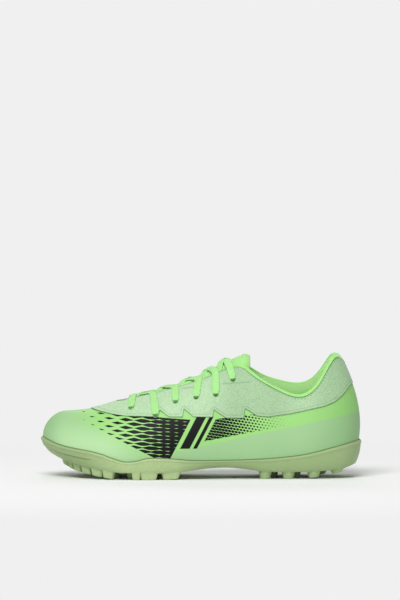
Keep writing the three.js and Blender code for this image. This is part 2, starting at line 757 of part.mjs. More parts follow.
function makeInsole() {
  const skin = new Skin();
  const round = roundStations();
  const low = [];
  const high = [];
  round.forEach(({ u }) => {
    const edge = lastSurface(u, 0, -upperWall - seatGap);
    edge.z = bedHeight(edge.x) + seatGap;
    low.push(skin.add(edge));
    edge.z += insoleThickness;
    high.push(skin.add(edge));
  });
  bands(skin, [low, high]);
  floorBetween(skin, low, (x) => bedHeight(x) + seatGap, false);
  floorBetween(skin, high, (x) => bedHeight(x) + seatGap + insoleThickness, true);
  return skin.solid();
}

const tongueStart = 3.2;
const tongueFree = 7.8;
const tongueEnd = 9.7;
const tongueCells = 4;

// Half the tongue's width: a lap under both edges, and narrower where it stands free at its end.
function tongueHalf(section) {
  const free = smooth((section - tongueFree) / (throatFull - tongueFree));
  return mix(throatHalf(section) + tongueLap, tongueEndWidth / 2, free);
}

// One section of the tongue: across under the crest from one side to the other, at a depth.
function tongueLine(section, depth) {
  const half = [true, false].map((lateral) => {
    const u = roundAt(section, lateral);
    const step = 0.02;
    const pace = lastPoint(u, 1, ring.crest).distanceTo(lastPoint(u, 1 - step, ring.crest)) / step;
    const reach = tongueHalf(section) / pace;
    const line = [];
    for (let k = 0; k <= tongueCells; k += 1) {
      const v = 1 - reach * (1 - k / tongueCells);
      line.push(lastSurface(u, v, -upperWall - tongueGap - depth, ring.crest));
    }
    return line;
  });
  const crest = half[0][tongueCells].clone().lerp(half[1][tongueCells], 0.5);
  return [...half[0].slice(0, -1), crest, ...half[1].slice(0, -1).reverse()];
}

function makeTongue() {
  const near = tongueEnd - sectionStep / 3;
  const along = [...stations().filter((s) => s > tongueStart && s < near), tongueEnd];
  const rings = along.map((section) => {
    const outer = tongueLine(section, 0);
    const inner = tongueLine(section, tongueThickness);
    return [...inner, ...outer.reverse()];
  });
  return throughRings(rings);
}

const laceSteps = 8;
const laceLift = overlayGap + overlayThickness + laceGap;

// A flat lace between two places, each given by its section and its signed share from the crest:
// below 0 on the lateral side, above 0 on the medial side.
function laceStrand(from, to) {
  const middle = (t, offset) => {
    const section = mix(from.section, to.section, t);
    const across = mix(from.across, to.across, t);
    const lateral = across < 0;
    const u = roundAt(section, lateral);
    return lastSurface(u, 1 - Math.abs(across), offset, ring.crest);
  };
  const rings = [];
  for (let i = 0; i <= laceSteps; i += 1) {
    const t = i / laceSteps;
    const low = middle(t, laceLift);
    const high = middle(t, laceLift + laceThickness);
    const run = middle(Math.min(1, t + 0.02), laceLift).sub(middle(Math.max(0, t - 0.02), laceLift));
    const across = high.clone().sub(low).cross(run).normalize();
    const side = (point, sign) => point.clone().addScaledVector(across, (sign * laceWidth) / 2);
    rings.push([side(low, -1), side(low, 1), side(high, 1), side(high, -1)]);
  }
  return throughRings(rings);
}

// Where a strand that runs across the throat comes to the edge before its far end.
function leavesThroat(from, to) {
  const at = (t) => ({
    section: mix(from.section, to.section, t),
    across: mix(from.across, to.across, t),
  });
  let low = 0.5;
  let high = 1;
  for (let i = 0; i < 30; i += 1) {
    const middle = (low + high) / 2;
    const { section, across } = at(middle);
    if (Math.abs(across) < 1 - edgeOf(roundAt(section, to.across < 0))) low = middle;
    else high = middle;
  }
  return at(low);
}

// The lace: a bar at the front, and crossings that run from under one edge to the next eyelet.
function makeLace() {
  const place = (index, lateral) => {
    const { section, v } = placeOnWall(eyelets[index], lateral);
    return { section, across: (lateral ? -1 : 1) * (1 - v) };
  };
  const sides = [true, false];
  const strands = [laceStrand(place(0, true), place(0, false))];
  let starts = sides.map((lateral) => leavesThroat(place(0, !lateral), place(0, lateral)));
  for (let i = 1; i < eyelets.length; i += 1) {
    const ends = sides.map((lateral) => place(i, lateral));
    const crossing = ends.map((end, side) => [starts[1 - side], end]);
    crossing.forEach(([from, to]) => strands.push(laceStrand(from, to)));
    starts = crossing.map(([from, to]) => leavesThroat(from, to));
  }
  return wasm.Manifold.union(strands);
}

function meshOf(name, solid, material) {
  const { vertProperties, triVerts, numProp } = solid.simplify(meshTolerance).getMesh();
  const points = new Float32Array((vertProperties.length / numProp) * 3);
  for (let i = 0; i < points.length / 3; i += 1) {
    points.set(vertProperties.subarray(i * numProp, i * numProp + 3), i * 3);
  }
  const geometry = new THREE.BufferGeometry();
  geometry.setAttribute('position', new THREE.BufferAttribute(points, 3));
  geometry.setIndex(new THREE.BufferAttribute(new Uint32Array(triVerts), 1));
  geometry.computeVertexNormals();
  const mesh = new THREE.Mesh(geometry, material);
  mesh.name = name;
  return mesh;
}

const shoe = new THREE.Group();
shoe.add(
  meshOf('outsole', makeSole(), materials.outsole),
  meshOf('upper', makeUpper(), materials.upper),
  meshOf('overlay', makeOverlay(), materials.overlay),
  meshOf('tongue', makeTongue(), materials.tongue),
  meshOf('insole', makeInsole(), materials.insole),
  meshOf('lace', makeLace(), materials.lace),
);

export default shoe;
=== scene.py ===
import math

import bmesh
import bpy
import numpy as np
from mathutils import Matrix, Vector
from mathutils.kdtree import KDTree


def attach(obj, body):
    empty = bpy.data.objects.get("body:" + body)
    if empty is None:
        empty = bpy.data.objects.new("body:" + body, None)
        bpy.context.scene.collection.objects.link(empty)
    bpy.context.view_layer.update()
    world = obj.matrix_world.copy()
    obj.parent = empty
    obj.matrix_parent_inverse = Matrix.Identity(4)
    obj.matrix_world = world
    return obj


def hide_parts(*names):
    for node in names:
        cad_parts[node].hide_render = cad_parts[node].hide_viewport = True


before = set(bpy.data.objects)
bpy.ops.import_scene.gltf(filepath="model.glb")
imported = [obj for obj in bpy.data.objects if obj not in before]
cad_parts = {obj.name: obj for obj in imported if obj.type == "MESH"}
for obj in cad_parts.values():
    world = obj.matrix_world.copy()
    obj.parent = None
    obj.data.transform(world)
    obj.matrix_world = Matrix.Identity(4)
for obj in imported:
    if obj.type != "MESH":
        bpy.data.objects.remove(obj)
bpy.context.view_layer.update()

# Sizes, as in the CAD part: millimetres, and for the throat sections of the last
LENGTH = 284.0
HALF = 50.0
INSTEP = 108.0
COLLAR = 108.0
SPRING = 29.0
STUD = 6.2
SOLE = 5.0
STAND = 58.5
WALL = 1.8
PADDING = 3.6
SEAT = 0.3
RIM_WALL = 1.7
TOE_STEP = 0.8
THROAT_WIDTH = 36.0
THROAT_START = 3.9
THROAT_ROUND = 0.45
THROAT_FULL = 9.0
THROAT_END = 10.5
PANEL_LIFT = 0.75
LACE_WIDTH = 6.5
LACE_THICK = 1.3
LUG_WIDTH, LUG_INSET, LUG_TAPER = 9.4, 4.7, 0.84
HEEL_STUD, HEEL_STUD_INSET = 11.5, 6.0
TREAD_STUD, TREAD_STUD_INSET, TREAD_STUD_PITCH = 9.5, 17.0, 18.0
STUD_TAPER = 0.78

# Details that only the scene has, in millimetres
EYELET_RADIUS = 2.1
EYELET_RIM, EYELET_RIM_THICK, EYELET_RIM_LIFT = 2.3, 0.38, 0.58
STITCH, STITCH_GAP, STITCH_RADIUS = 1.9, 0.9, 0.26
COLLAR_STITCH = 2.0
FOOTBED_THICK = 4.0
PRISM_REACH = 75.0

# The photograph's frame in pixels, and where the shoe is in it
PHOTO_WIDTH, PHOTO_HEIGHT = 400.0, 600.0
HEEL_COLUMN, GROUND_ROW = 360.6, 479.5
MM_PER_PIXEL = 0.8883
NEAR_STUDS = 38.0  # how far the studs that meet the ground row are from the middle, in millimetres
CAMERA_FAR, CAMERA_RISE, CAMERA_AIM = 8000.0, 4.0, 55.0
SENSOR = 36.0
STAGE_X = -84.0
PAPER = 0.86

# Sections of the last from toe to heel: foot, lateral, medial, out, lift, top, top lateral, top medial,
# height, medial height, reach, puff, drop
SECTIONS = np.array([
    [0.984, 0.16, 0.16, 0.25, 0.4, 0.928, 0.16, 0.16, 0.538, 0.538, 0.74, 0, 0],
    [0.966, -0.12, 0.42, 0.24, 0.4, 0.915, 0.15, 0.15, 0.541, 0.541, 0.72, 0, 0],
    [0.925, -0.42, 0.63, 0.22, 0.38, 0.885, 0.13, 0.13, 0.545, 0.545, 0.68, 0, 0],
    [0.862, -0.65, 0.78, 0.2, 0.36, 0.828, 0.11, 0.11, 0.562, 0.562, 0.65, 0, 0],
    [0.785, -0.8, 0.86, 0.2, 0.34, 0.755, 0.09, 0.09, 0.628, 0.628, 0.66, 0, 0],
    [0.702, -0.87, 0.84, 0.2, 0.33, 0.68, 0.07, 0.07, 0.682, 0.682, 0.69, 0, 0],
    [0.618, -0.85, 0.71, 0.2, 0.33, 0.605, 0.055, 0.055, 0.738, 0.738, 0.73, 0, 0],
    [0.535, -0.78, 0.56, 0.19, 0.33, 0.53, 0.045, 0.045, 0.808, 0.808, 0.79, 0, 0],
    [0.46, -0.71, 0.48, 0.18, 0.33, 0.458, 0.04, 0.04, 0.905, 0.905, 0.79, 0, 0],
    [0.392, -0.67, 0.47, 0.17, 0.33, 0.395, 0.04, 0.04, 1.015, 1.015, 0.74, 0, 0.01],
    [0.325, -0.64, 0.5, 0.19, 0.34, 0.328, -0.5, 0.5, 0.83, 0.83, 0.3, 0.05, 0.2],
    [0.257, -0.62, 0.53, 0.16, 0.34, 0.258, -0.56, 0.56, 0.735, 0.775, 0.26, 0.03, 0.26],
    [0.188, -0.6, 0.55, 0.18, 0.34, 0.19, -0.6, 0.58, 0.655, 0.73, 0.26, 0.02, 0.28],
    [0.095, -0.59, 0.56, 0.17, 0.36, 0.133, -0.54, 0.52, 0.755, 0.8, 0.36, 0.02, 0.26],
    [0.03, -0.45, 0.44, 0.16, 0.36, 0.08, -0.36, 0.35, 1.06, 1.06, 0.6, 0, 0.24],
    [0.0165, 0, 0, 0.34, 0.42, 0.053, 0, 0, 0.96, 0.96, 0.96, 0, 0.22],
])
CREST_END = {10: (0.33, 1.06), 11: (0.26, 1.03), 12: (0.19, 1.0)}
# The sole from the side: along, base, bed, rim, tread
SOLE_PROFILE = np.array([
    [0.0, 0.27, 1.0, 0.93, 0.5], [0.03, 0.165, 1.1, 0.875, 0.37], [0.065, 0.085, 1.35, 0.79, 0.19],
    [0.1, 0.045, 1.5, 0.7, 0.115], [0.145, 0.015, 1.6, 0.585, 0.04], [0.19, 0.0, 1.6, 0.5, 0.0],
    [0.25, 0.0, 1.5, 0.43, 0.0], [0.31, 0.02, 1.3, 0.385, 0.0], [0.36, 0.09, 0.95, 0.365, 0.1],
    [0.42, 0.14, 0.66, 0.355, 0.2], [0.48, 0.115, 0.7, 0.35, 0.2], [0.53, 0.055, 0.9, 0.36, 0.15],
    [0.575, 0.01, 1.0, 0.4, 0.03], [0.625, 0.0, 0.95, 0.44, 0.0], [0.665, 0.0, 0.9, 0.43, 0.0],
    [0.7, 0.0, 0.9, 0.35, 0.0], [0.735, 0.0, 0.9, 0.32, 0.0], [0.77, 0.02, 0.95, 0.41, 0.015],
    [0.81, 0.07, 1.0, 0.55, 0.07], [0.85, 0.135, 1.0, 0.64, 0.15], [0.89, 0.225, 1.0, 0.7, 0.24],
    [0.93, 0.34, 1.0, 0.77, 0.42], [0.965, 0.49, 1.0, 0.87, 0.66], [1.0, 0.64, 0.9, 1.02, 0.9],
])
# How far the sole's lower edge lies inside the foot's outline, by section
TUCK = [0.17, 0.16, 0.11, 0.04, -0.02, -0.04, -0.02, 0.03, 0.06, 0.05, 0.02, 0, 0, 0, 0, -0.01]
# How far a strand's top leans towards the heel, in millimetres
STRAND_LEAN = [-1.8, -2.6, -0.4, 2.6, 0.3, -2.5]
# Eyelets and the panel's lower edge from the side, as shares of the length and of the height
EYELETS = [(0.717, 0.575), (0.64, 0.525), (0.578, 0.632), (0.514, 0.668), (0.453, 0.692), (0.4, 0.81)]
PANEL_EDGE = [
    (0.88, 0.59), (0.82, 0.551), (0.776, 0.53), (0.735, 0.518), (0.64, 0.516), (0.627, 0.568),
    (0.6, 0.516), (0.556, 0.514), (0.552, 0.58), (0.523, 0.516), (0.462, 0.512), (0.459, 0.572),
    (0.422, 0.505), (0.366, 0.502), (0.361, 0.58), (0.325, 0.52), (0.29, 0.513), (0.22, 0.538),
    (0.16, 0.572), (0.112, 0.6), (0.08, 0.635), (0.055, 0.69), (0.03, 0.77), (-0.02, 0.84),
]
# How wide the bright strip above the panel is: section, then millimetres
COLLAR_STRIP = np.array([
    (9, 0), (9.2, 0.8), (9.35, 2.2), (9.5, 3.6), (9.75, 2.5), (10, 1.7), (10.5, 1), (11, 1), (12, 1.1),
    (12.3, 1.4), (12.6, 1.5), (12.9, 1.7), (13.15, 1.7), (13.4, 1.3), (13.7, 1.1), (14, 1.2), (14.3, 1.7),
    (14.6, 3), (15, 5.2)]).T
# Short seams on the panel: two places of the side view each
SHORT_SEAMS = ((-64.5, 84.2, -39.5, 85.6), (-99.5, 79.8, -88.0, 81.2))
# Creases: share of the length, height where it starts, depth, width and lean, in millimetres
CREASES = [(0.655, 26, 0.22, 3.2, 0.25), (0.615, 30, 0.16, 2.8, 0.32), (0.7, 24, 0.16, 3.6, 0.15),
           (0.44, 34, 0.25, 6.0, -0.3), (0.335, 30, 0.28, 7.0, -0.25), (0.12, 60, 0.2, 4.0, 0.2)]
# Grooves across the ball, lugs as middle and length, and studs: all as shares of the length
FLEX_GROOVES = [0.632, 0.688, 0.7425, 0.7975]
EDGE_LUGS = [(0.946, 0.026), (0.922, 0.022), (0.8965, 0.03), (0.864, 0.034), (0.827, 0.038),
             (0.79, 0.037), (0.701, 0.028), (0.6615, 0.055), (0.5915, 0.058)]
HEEL_STUDS = [0.298, 0.226, 0.146, 0.066]
HEEL_MIDDLE = [0.277, STAND / LENGTH, 0.125, 0.036]
TREAD_ROWS = [0.605, 0.66, 0.715, 0.77, 0.825, 0.88]


def mix(a, b, t):
    return a + (b - a) * t


def smooth(t):
    t = np.clip(t, 0.0, 1.0)
    return t * t * (3 - 2 * t)


def unit(a):
    return a / np.maximum(np.linalg.norm(a, axis=-1, keepdims=True), 1e-12)


def to_x(along):
    return STAND - np.asarray(along) * LENGTH


def to_along(x):
    return (STAND - np.asarray(x)) / LENGTH


def loop(lateral, medial=None):
    medial = lateral if medial is None else medial
    return np.concatenate([lateral, np.asarray(medial)[1:-1][::-1]])


def spline(values, at):
    """A uniform cubic B-spline through a closed list of values."""
    n = len(values)
    i = np.floor(at).astype(int)
    t = at - i
    return (values[(i - 1) % n] * (1 - t) ** 3 + values[i % n] * (3 * t**3 - 6 * t**2 + 4)
            + values[(i + 1) % n] * (-3 * t**3 + 3 * t**2 + 3 * t + 1) + values[(i + 2) % n] * t**3) / 6


LAST = len(SECTIONS) - 1
HIGH = np.where(np.arange(LAST + 1) <= 9, INSTEP, COLLAR)
COL = SECTIONS.T
FOOT, ACROSS, OUT, LIFT = loop(COL[0]), loop(COL[1], COL[2]), loop(COL[3]), loop(COL[4])
TUCK = loop(np.array(TUCK))
TURN = len(FOOT)
RIM = {
    "top": loop(COL[5]), "across": loop(COL[6], COL[7]), "height": loop(COL[8] * HIGH, COL[9] * HIGH),
    "reach": loop(COL[10]), "puff": loop(COL[11]), "drop": loop(COL[12]), "fair": 8.0,
}


def crest_ring():
    rows = SECTIONS.copy()
    for i in range(10, LAST + 1):
        rows[i, 10:13] = (0.88, 0, 0)
        rows[i, 6:8] = 0.04
        if i in CREST_END:
            rows[i, 5], rows[i, 8] = CREST_END[i]
    c = rows.T
    return {"top": loop(c[5]), "across": loop(c[6]), "height": loop(c[8] * INSTEP),
            "reach": loop(c[10]), "puff": loop(c[11]), "drop": loop(c[12]), "fair": 20.0}


CREST = crest_ring()


def sole_at(column, along):
    """A column of the sole's profile along the shoe, as a smooth curve through its places."""
    xs, ys = SOLE_PROFILE[:, 0], SOLE_PROFILE[:, column]
    n = len(xs)
    i = np.clip(np.searchsorted(xs, along, side="right") - 1, 0, n - 2)
    lo, hi = np.maximum(np.arange(n) - 1, 0), np.minimum(np.arange(n) + 1, n - 1)
    slope = (ys[hi] - ys[lo]) / (xs[hi] - xs[lo])
    span = xs[i + 1] - xs[i]
    t = np.clip((along - xs[i]) / span, 0, 1)
    return ((2 * t**3 - 3 * t**2 + 1) * ys[i] + (t**3 - 2 * t**2 + t) * span * slope[i]
            + (3 * t**2 - 2 * t**3) * ys[i + 1] + (t**3 - t**2) * span * slope[i + 1])


def base_height(x):
    return STUD + SPRING * sole_at(1, to_along(x))


def bed_height(x):
    return base_height(x) + SOLE * sole_at(2, to_along(x))


def rim_height(x):
    return STUD + SPRING * sole_at(3, to_along(x))


def tread_height(x):
    return SPRING * np.maximum(0, sole_at(4, to_along(x)))


def foot_point(u):
    x = to_x(spline(FOOT, u))
    return np.stack([x, HALF * spline(ACROSS, u), bed_height(x) + SEAT], -1)


def outward(u):
    run = foot_point(u + 0.01) - foot_point(u - 0.01)
    return unit(np.stack([run[..., 1], -run[..., 0], np.zeros_like(run[..., 0])], -1))


def top_point(u, over):
    return np.stack([to_x(spline(over["top"], u)), HALF * spline(over["across"], u),
                     spline(over["height"], u)], -1)


def section_of(u):
    u = np.mod(u, TURN)
    return np.where(u <= TURN / 2, u, TURN - u)


def last_point(u, v, over=RIM):
    """A point of the last: u runs round the shoe, v up the wall. Both sides meet smoothly at the crest."""
    u, v = np.broadcast_arrays(np.asarray(u, float), np.asarray(v, float))
    foot, out, top = foot_point(u), outward(u), top_point(u, over)
    rise = (top - foot)[..., 2:]
    up = np.array([0.0, 0.0, 1.0])
    low = foot + out * HALF * spline(OUT, u)[..., None] + up * spline(LIFT, u)[..., None] * rise
    lean = (foot - top) * np.array([1.0, 1.0, 0.0])
    other = (foot_point(TURN - u) - top_point(TURN - u, over)) * np.array([1.0, 1.0, 0.0])
    span = np.linalg.norm(lean, axis=-1, keepdims=True)
    shared = unit(unit(lean) - unit(other)) * span
    fair = 1 - smooth((section_of(u) - over["fair"]) / 1.5)
    near_toe = smooth(section_of(u) / 0.6)
    lean = mix(lean, shared, (fair * near_toe)[..., None])
    high = top + lean * spline(over["reach"], u)[..., None]
    high = high + out * HALF * spline(over["puff"], u)[..., None]
    high[..., 2:] = top[..., 2:] - spline(over["drop"], u)[..., None] * rise
    v = v[..., None]
    return foot * (1 - v) ** 3 + low * 3 * v * (1 - v) ** 2 + high * 3 * v**2 * (1 - v) + top * v**3


def last_normal(u, v, over=RIM):
    at = np.clip(v, 0.02, 0.98)
    run = last_point(u + 0.01, at, over) - last_point(u - 0.01, at, over)
    rise = last_point(u, at + 0.01, over) - last_point(u, at - 0.01, over)
    return unit(np.cross(run, rise))


def surface(u, v, offset=0.0, over=RIM):
    """The last's surface moved out by offset along its normal."""
    u, v = np.broadcast_arrays(np.asarray(u, float), np.asarray(v, float))
    normal = last_normal(u, v, over)
    closed = (v > 0.97) & ((section_of(u) <= THROAT_START) | (over is CREST))
    both = unit(normal + last_normal(TURN - u, v, over))
    share = (smooth((v - 0.97) / 0.03) * closed)[..., None]
    normal = unit(mix(normal, both, share))
    point = last_point(u, v, over)
    moved = point + normal * np.asarray(offset, float)[..., None]
    moved[..., 2] = np.where(v < 0.001, point[..., 2], moved[..., 2])
    return moved


def throat_half(section):
    opened = np.clip((section - THROAT_START) / THROAT_ROUND, 0, 1)
    front = np.sqrt(1 - (1 - opened) ** 2)
    widen = mix(0.5, 1.0, smooth((section - THROAT_START) / (THROAT_FULL - THROAT_START)))
    return THROAT_WIDTH / 2 * widen * front


def halve(low, high, climbs, steps=30):
    """The place between low and high up to which climbs holds, found by halving."""
    for _ in range(steps):
        middle = (low + high) / 2
        up = climbs(middle)
        low, high = np.where(up, middle, low), np.where(up, high, middle)
    return (low + high) / 2


def edge_of(u):
    """How far up the wall goes: to the crest, the throat's edge or the collar's rim."""
    u = np.asarray(u, float)
    section = section_of(u)
    half = throat_half(section)
    crest = last_point(u, np.ones_like(u), CREST)

    def away(v):
        return np.linalg.norm(last_point(u, v) - crest, axis=-1)

    whole = (section <= THROAT_START) | (section >= THROAT_END) | (away(np.ones_like(u)) >= half)
    found = halve(np.full_like(u, 0.3), np.ones_like(u), lambda v: away(v) > half)
    return np.where(whole, 1.0, found)


def round_at(section, lateral):
    return np.where(lateral, section, TURN - section)


# Stations from toe to heel, closer together where the throat opens
STATION_STEP = 0.055
HALF_STATIONS = np.unique(np.round(np.concatenate([
    np.arange(0, THROAT_START, STATION_STEP),
    THROAT_START + np.array([0, 0.003, 0.01, 0.022, 0.04, 0.07, 0.11, 0.16]),
    np.arange(THROAT_START + 0.22, LAST, STATION_STEP), [LAST]]), 5))
ROUND = np.concatenate([HALF_STATIONS, TURN - HALF_STATIONS[1:-1][::-1]])
ROUND_SECTION = section_of(ROUND)
ROUND_EDGE = edge_of(ROUND)
COUNT = len(ROUND)
OPEN = np.nonzero(ROUND_SECTION >= THROAT_START - 1e-9)[0]
PARTNER = (COUNT - np.arange(COUNT)) % COUNT


def quads(ids, wrap=False):
    """Faces of a grid of vertex numbers. Welded corners give triangles."""
    ids = np.asarray(ids)
    if wrap:
        ids = np.concatenate([ids, ids[:1]], 0)
    corners = ids[:-1, :-1], ids[1:, :-1], ids[1:, 1:], ids[:-1, 1:]
    faces = [tuple(dict.fromkeys(face)) for face in zip(*(part.ravel().tolist() for part in corners))]
    return [face for face in faces if len(face) > 2]


def closed(ids):
    """A grid of vertex numbers whose rows run round and meet their start."""
    return np.concatenate([ids, ids[:, :1]], 1)


def join(parts):
    """Several meshes, each given as points and faces, as one."""
    points, faces, start = [], [], 0
    for p, f in parts:
        points.append(p)
        faces += [tuple(start + i for i in face) for face in f]
        start += len(p)
    return np.concatenate(points), faces


def slab(top, low):
    """A closed sheet between two grids of places."""
    ids = np.arange(top[..., 0].size).reshape(top.shape[:2])
    rim = np.concatenate([ids[:, 0], ids[-1, 1:], ids[:-1, -1][::-1], ids[0, 1:-1][::-1]])
    faces = quads(ids) + quads(ids.size + ids[:, ::-1]) + quads(np.stack([rim, ids.size + rim], 1), True)
    return np.concatenate([top.reshape(-1, 3), low.reshape(-1, 3)]), faces


def make(name, points, faces, materials, slots=None, uv=None):
    """A smooth mesh object from points in millimetres."""
    mesh = bpy.data.meshes.new(name)
    points = np.asarray(points, float).reshape(-1, 3)
    mesh.from_pydata((points * 0.001).tolist(), [], faces)
    for material in materials:
        mesh.materials.append(material)
    if slots is not None:
        mesh.polygons.foreach_set("material_index", np.asarray(slots, np.int32))
    if uv is not None:
        layer = mesh.uv_layers.new(name="weave")
        corner = np.zeros(len(mesh.loops), np.int32)
        mesh.loops.foreach_get("vertex_index", corner)
        layer.data.foreach_set("uv", np.asarray(uv, np.float32)[corner].ravel())
    mesh.polygons.foreach_set("use_smooth", [True] * len(mesh.polygons))
    mesh.validate()
    mesh.update()
    obj = bpy.data.objects.new(name, mesh)
    bpy.context.scene.collection.objects.link(obj)
    return obj


def finish_piece(obj, slot, *nodes):
    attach(obj, "root")
    if nodes:
        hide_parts(*nodes)
    return obj


def cut(obj, other, operation):
    """A boolean that is applied at once."""
    modifier = obj.modifiers.new("cut", "BOOLEAN")
    modifier.operation = operation
    modifier.solver = "EXACT"
    modifier.object = other
    bpy.context.view_layer.update()
    mesh = bpy.data.meshes.new_from_object(obj.evaluated_get(bpy.context.evaluated_depsgraph_get()))
    obj.modifiers.clear()
    old = obj.data
    obj.data = mesh
    bpy.data.meshes.remove(old)


def drop(obj):
    mesh = obj.data
    bpy.data.objects.remove(obj)
    bpy.data.meshes.remove(mesh)


def math_node(operation):
    """A method of Tree that adds one Math node."""
    def method(tree, *values, clamp=False):
        node = tree.nodes.new("ShaderNodeMath")
        node.operation = operation
        node.use_clamp = clamp
        for socket, value in zip(node.inputs, values):
            tree.plug(socket, value)
        return node.outputs[0]
    return method


class Tree:
    """A material and the means to build its nodes. x, y and z are the place in millimetres."""

    add, sub, mul, div, madd, least, modulo = map(math_node, (
        "ADD", "SUBTRACT", "MULTIPLY", "DIVIDE", "MULTIPLY_ADD", "MINIMUM", "MODULO"))
    absolute, floor, fract, sine, sqrt = map(math_node, ("ABSOLUTE", "FLOOR", "FRACT", "SINE", "SQRT"))

    def __init__(self, name, color, roughness, **settings):
        self.material = bpy.data.materials.new(name)
        self.material.use_nodes = True
        self.material.diffuse_color = (*color, 1)
        self.nodes = self.material.node_tree.nodes
        self.links = self.material.node_tree.links
        self.shader = self.nodes["Principled BSDF"]
        self.set("Base Color", (*color, 1))
        self.set("Roughness", roughness)
        for key, value in settings.items():
            self.set(key.replace("_", " "), value)
        self.where = self.nodes.new("ShaderNodeNewGeometry").outputs["Position"]
        self.x, self.y, self.z = (self.mul(value, 1000.0) for value in self.split(self.where))

    def plug(self, socket, value):
        if isinstance(value, bpy.types.NodeSocket):
            self.links.new(value, socket)
        else:
            socket.default_value = value

    def set(self, key, value):
        self.plug(self.shader.inputs[key], value)

    def split(self, vector):
        node = self.nodes.new("ShaderNodeSeparateXYZ")
        self.links.new(vector, node.inputs[0])
        return node.outputs

    def ramp(self, value, low, high, to_low=0.0, to_high=1.0):
        node = self.nodes.new("ShaderNodeMapRange")
        node.interpolation_type = "SMOOTHSTEP"
        keys = ("Value", "From Min", "From Max", "To Min", "To Max")
        for key, item in zip(keys, (value, low, high, to_low, to_high)):
            self.plug(node.inputs[key], item)
        return node.outputs["Result"]

    def line(self, x0, z0, x1, z1):
        """How far above the line through two places of the side view, in millimetres."""
        length = math.hypot(x1 - x0, z1 - z0)
        nx, nz = -(z1 - z0) / length, (x1 - x0) / length
        if nz < 0:
            nx, nz = -nx, -nz
        return self.madd(self.z, nz, self.madd(self.x, nx, -(nx * x0 + nz * z0)))

    def above(self, *places):
        """One above a line and nothing below it, with a thin soft edge."""
        return self.ramp(self.line(*places), -0.25, 0.25)

    def below(self, *places):
        return self.ramp(self.line(*places), 0.25, -0.25)

    def noise(self, scale, detail=2.0, roughness=0.5):
        node = self.nodes.new("ShaderNodeTexNoise")
        for key, value in (("Scale", scale), ("Detail", detail), ("Roughness", roughness)):
            node.inputs[key].default_value = value
        self.links.new(self.where, node.inputs["Vector"])
        return node.outputs["Fac"]

    def attribute(self, name):
        node = self.nodes.new("ShaderNodeAttribute")
        node.attribute_name = name
        return node.outputs["Fac"]

    def color(self, factor, first, second):
        node = self.nodes.new("ShaderNodeMix")
        node.data_type = "RGBA"
        for i, value in ((0, factor), (6, first), (7, second)):
            self.plug(node.inputs[i], (*value, 1) if isinstance(value, tuple) else value)
        return node.outputs[2]

    def bump(self, height, distance, strength=1.0):
        """Adds a relief. distance is how high it stands, in millimetres."""
        node = self.nodes.new("ShaderNodeBump")
        node.inputs["Strength"].default_value = strength
        node.inputs["Distance"].default_value = distance * 0.001
        self.links.new(height, node.inputs["Height"])
        before = self.shader.inputs["Normal"].links
        if before:
            self.links.new(before[0].from_socket, node.inputs["Normal"])
        self.links.new(node.outputs["Normal"], self.shader.inputs["Normal"])


def rgb(text):
    """A screen colour as the shader's linear values."""
    values = [int(text[i:i + 2], 16) / 255 for i in (0, 2, 4)]
    return tuple(((c + 0.055) / 1.055) ** 2.4 if c > 0.04045 else c / 12.92 for c in values)


BRIGHT = rgb("99d27b")
MINT = rgb("9cc58f")
PALE = rgb("b9d9af")
LIME = rgb("d2ffb2")
GLOW = rgb("b3ec99")
OLIVE = rgb("aac088")
BLACK = rgb("070808")


def lozenges(t, rise, height, width, growth, most, soft):
    """Staggered rows of printed lozenges, whose size changes along the shoe by growth, up to most."""
    row = t.div(t.madd(t.x, rise, t.z), height)
    odd = t.modulo(t.absolute(t.floor(row)), 2.0)
    cell = t.add(t.div(t.x, width), t.mul(odd, 0.5))
    away = t.add(*(t.absolute(t.sub(t.fract(value), 0.5)) for value in (cell, row)))
    return t.ramp(t.sub(t.least(t.madd(t.x, *growth), most), away), -soft, soft)


def leaning(x):
    """Two places on the line that leans back from x, as the print's bars do."""
    return x, 20.0, x + 18.0, 54.0


def printed_figures(t):
    """Lozenges that thin out towards the toe, two leaning bars, and a field that thins out to the heel."""
    front = lozenges(t, 0.055, 3.3, 15.0, (0.0098, 1.93), 0.86, 0.02)
    for inside in (t.below(-196.0, 60.5, -104.0, 54.0), t.above(-196.0, 56.0, -122.0, 18.5),
                   t.above(*leaning(-110.0))):
        front = t.mul(front, inside)
    bars = [t.mul(t.below(*leaning(first)), t.above(*leaning(last)))
            for first, last in ((-106.0, -97.5), (-94.5, -91.0))]
    between = t.mul(t.ramp(t.z, 27.5, 28.0), t.ramp(t.z, 56.0, 55.5))
    bars = t.mul(t.add(*bars, clamp=True), between)
    rear = lozenges(t, 0.16, 2.5, 2.9, (-0.0115, -0.02), 0.72, 0.03)
    for inside in (t.below(*leaning(-88.0)), t.above(-84.0, 33.5, 0.0, 49.0),
                   t.below(-84.0, 52.0, 0.0, 62.0)):
        rear = t.mul(rear, inside)
    return t.add(t.add(front, bars, clamp=True), rear, clamp=True)


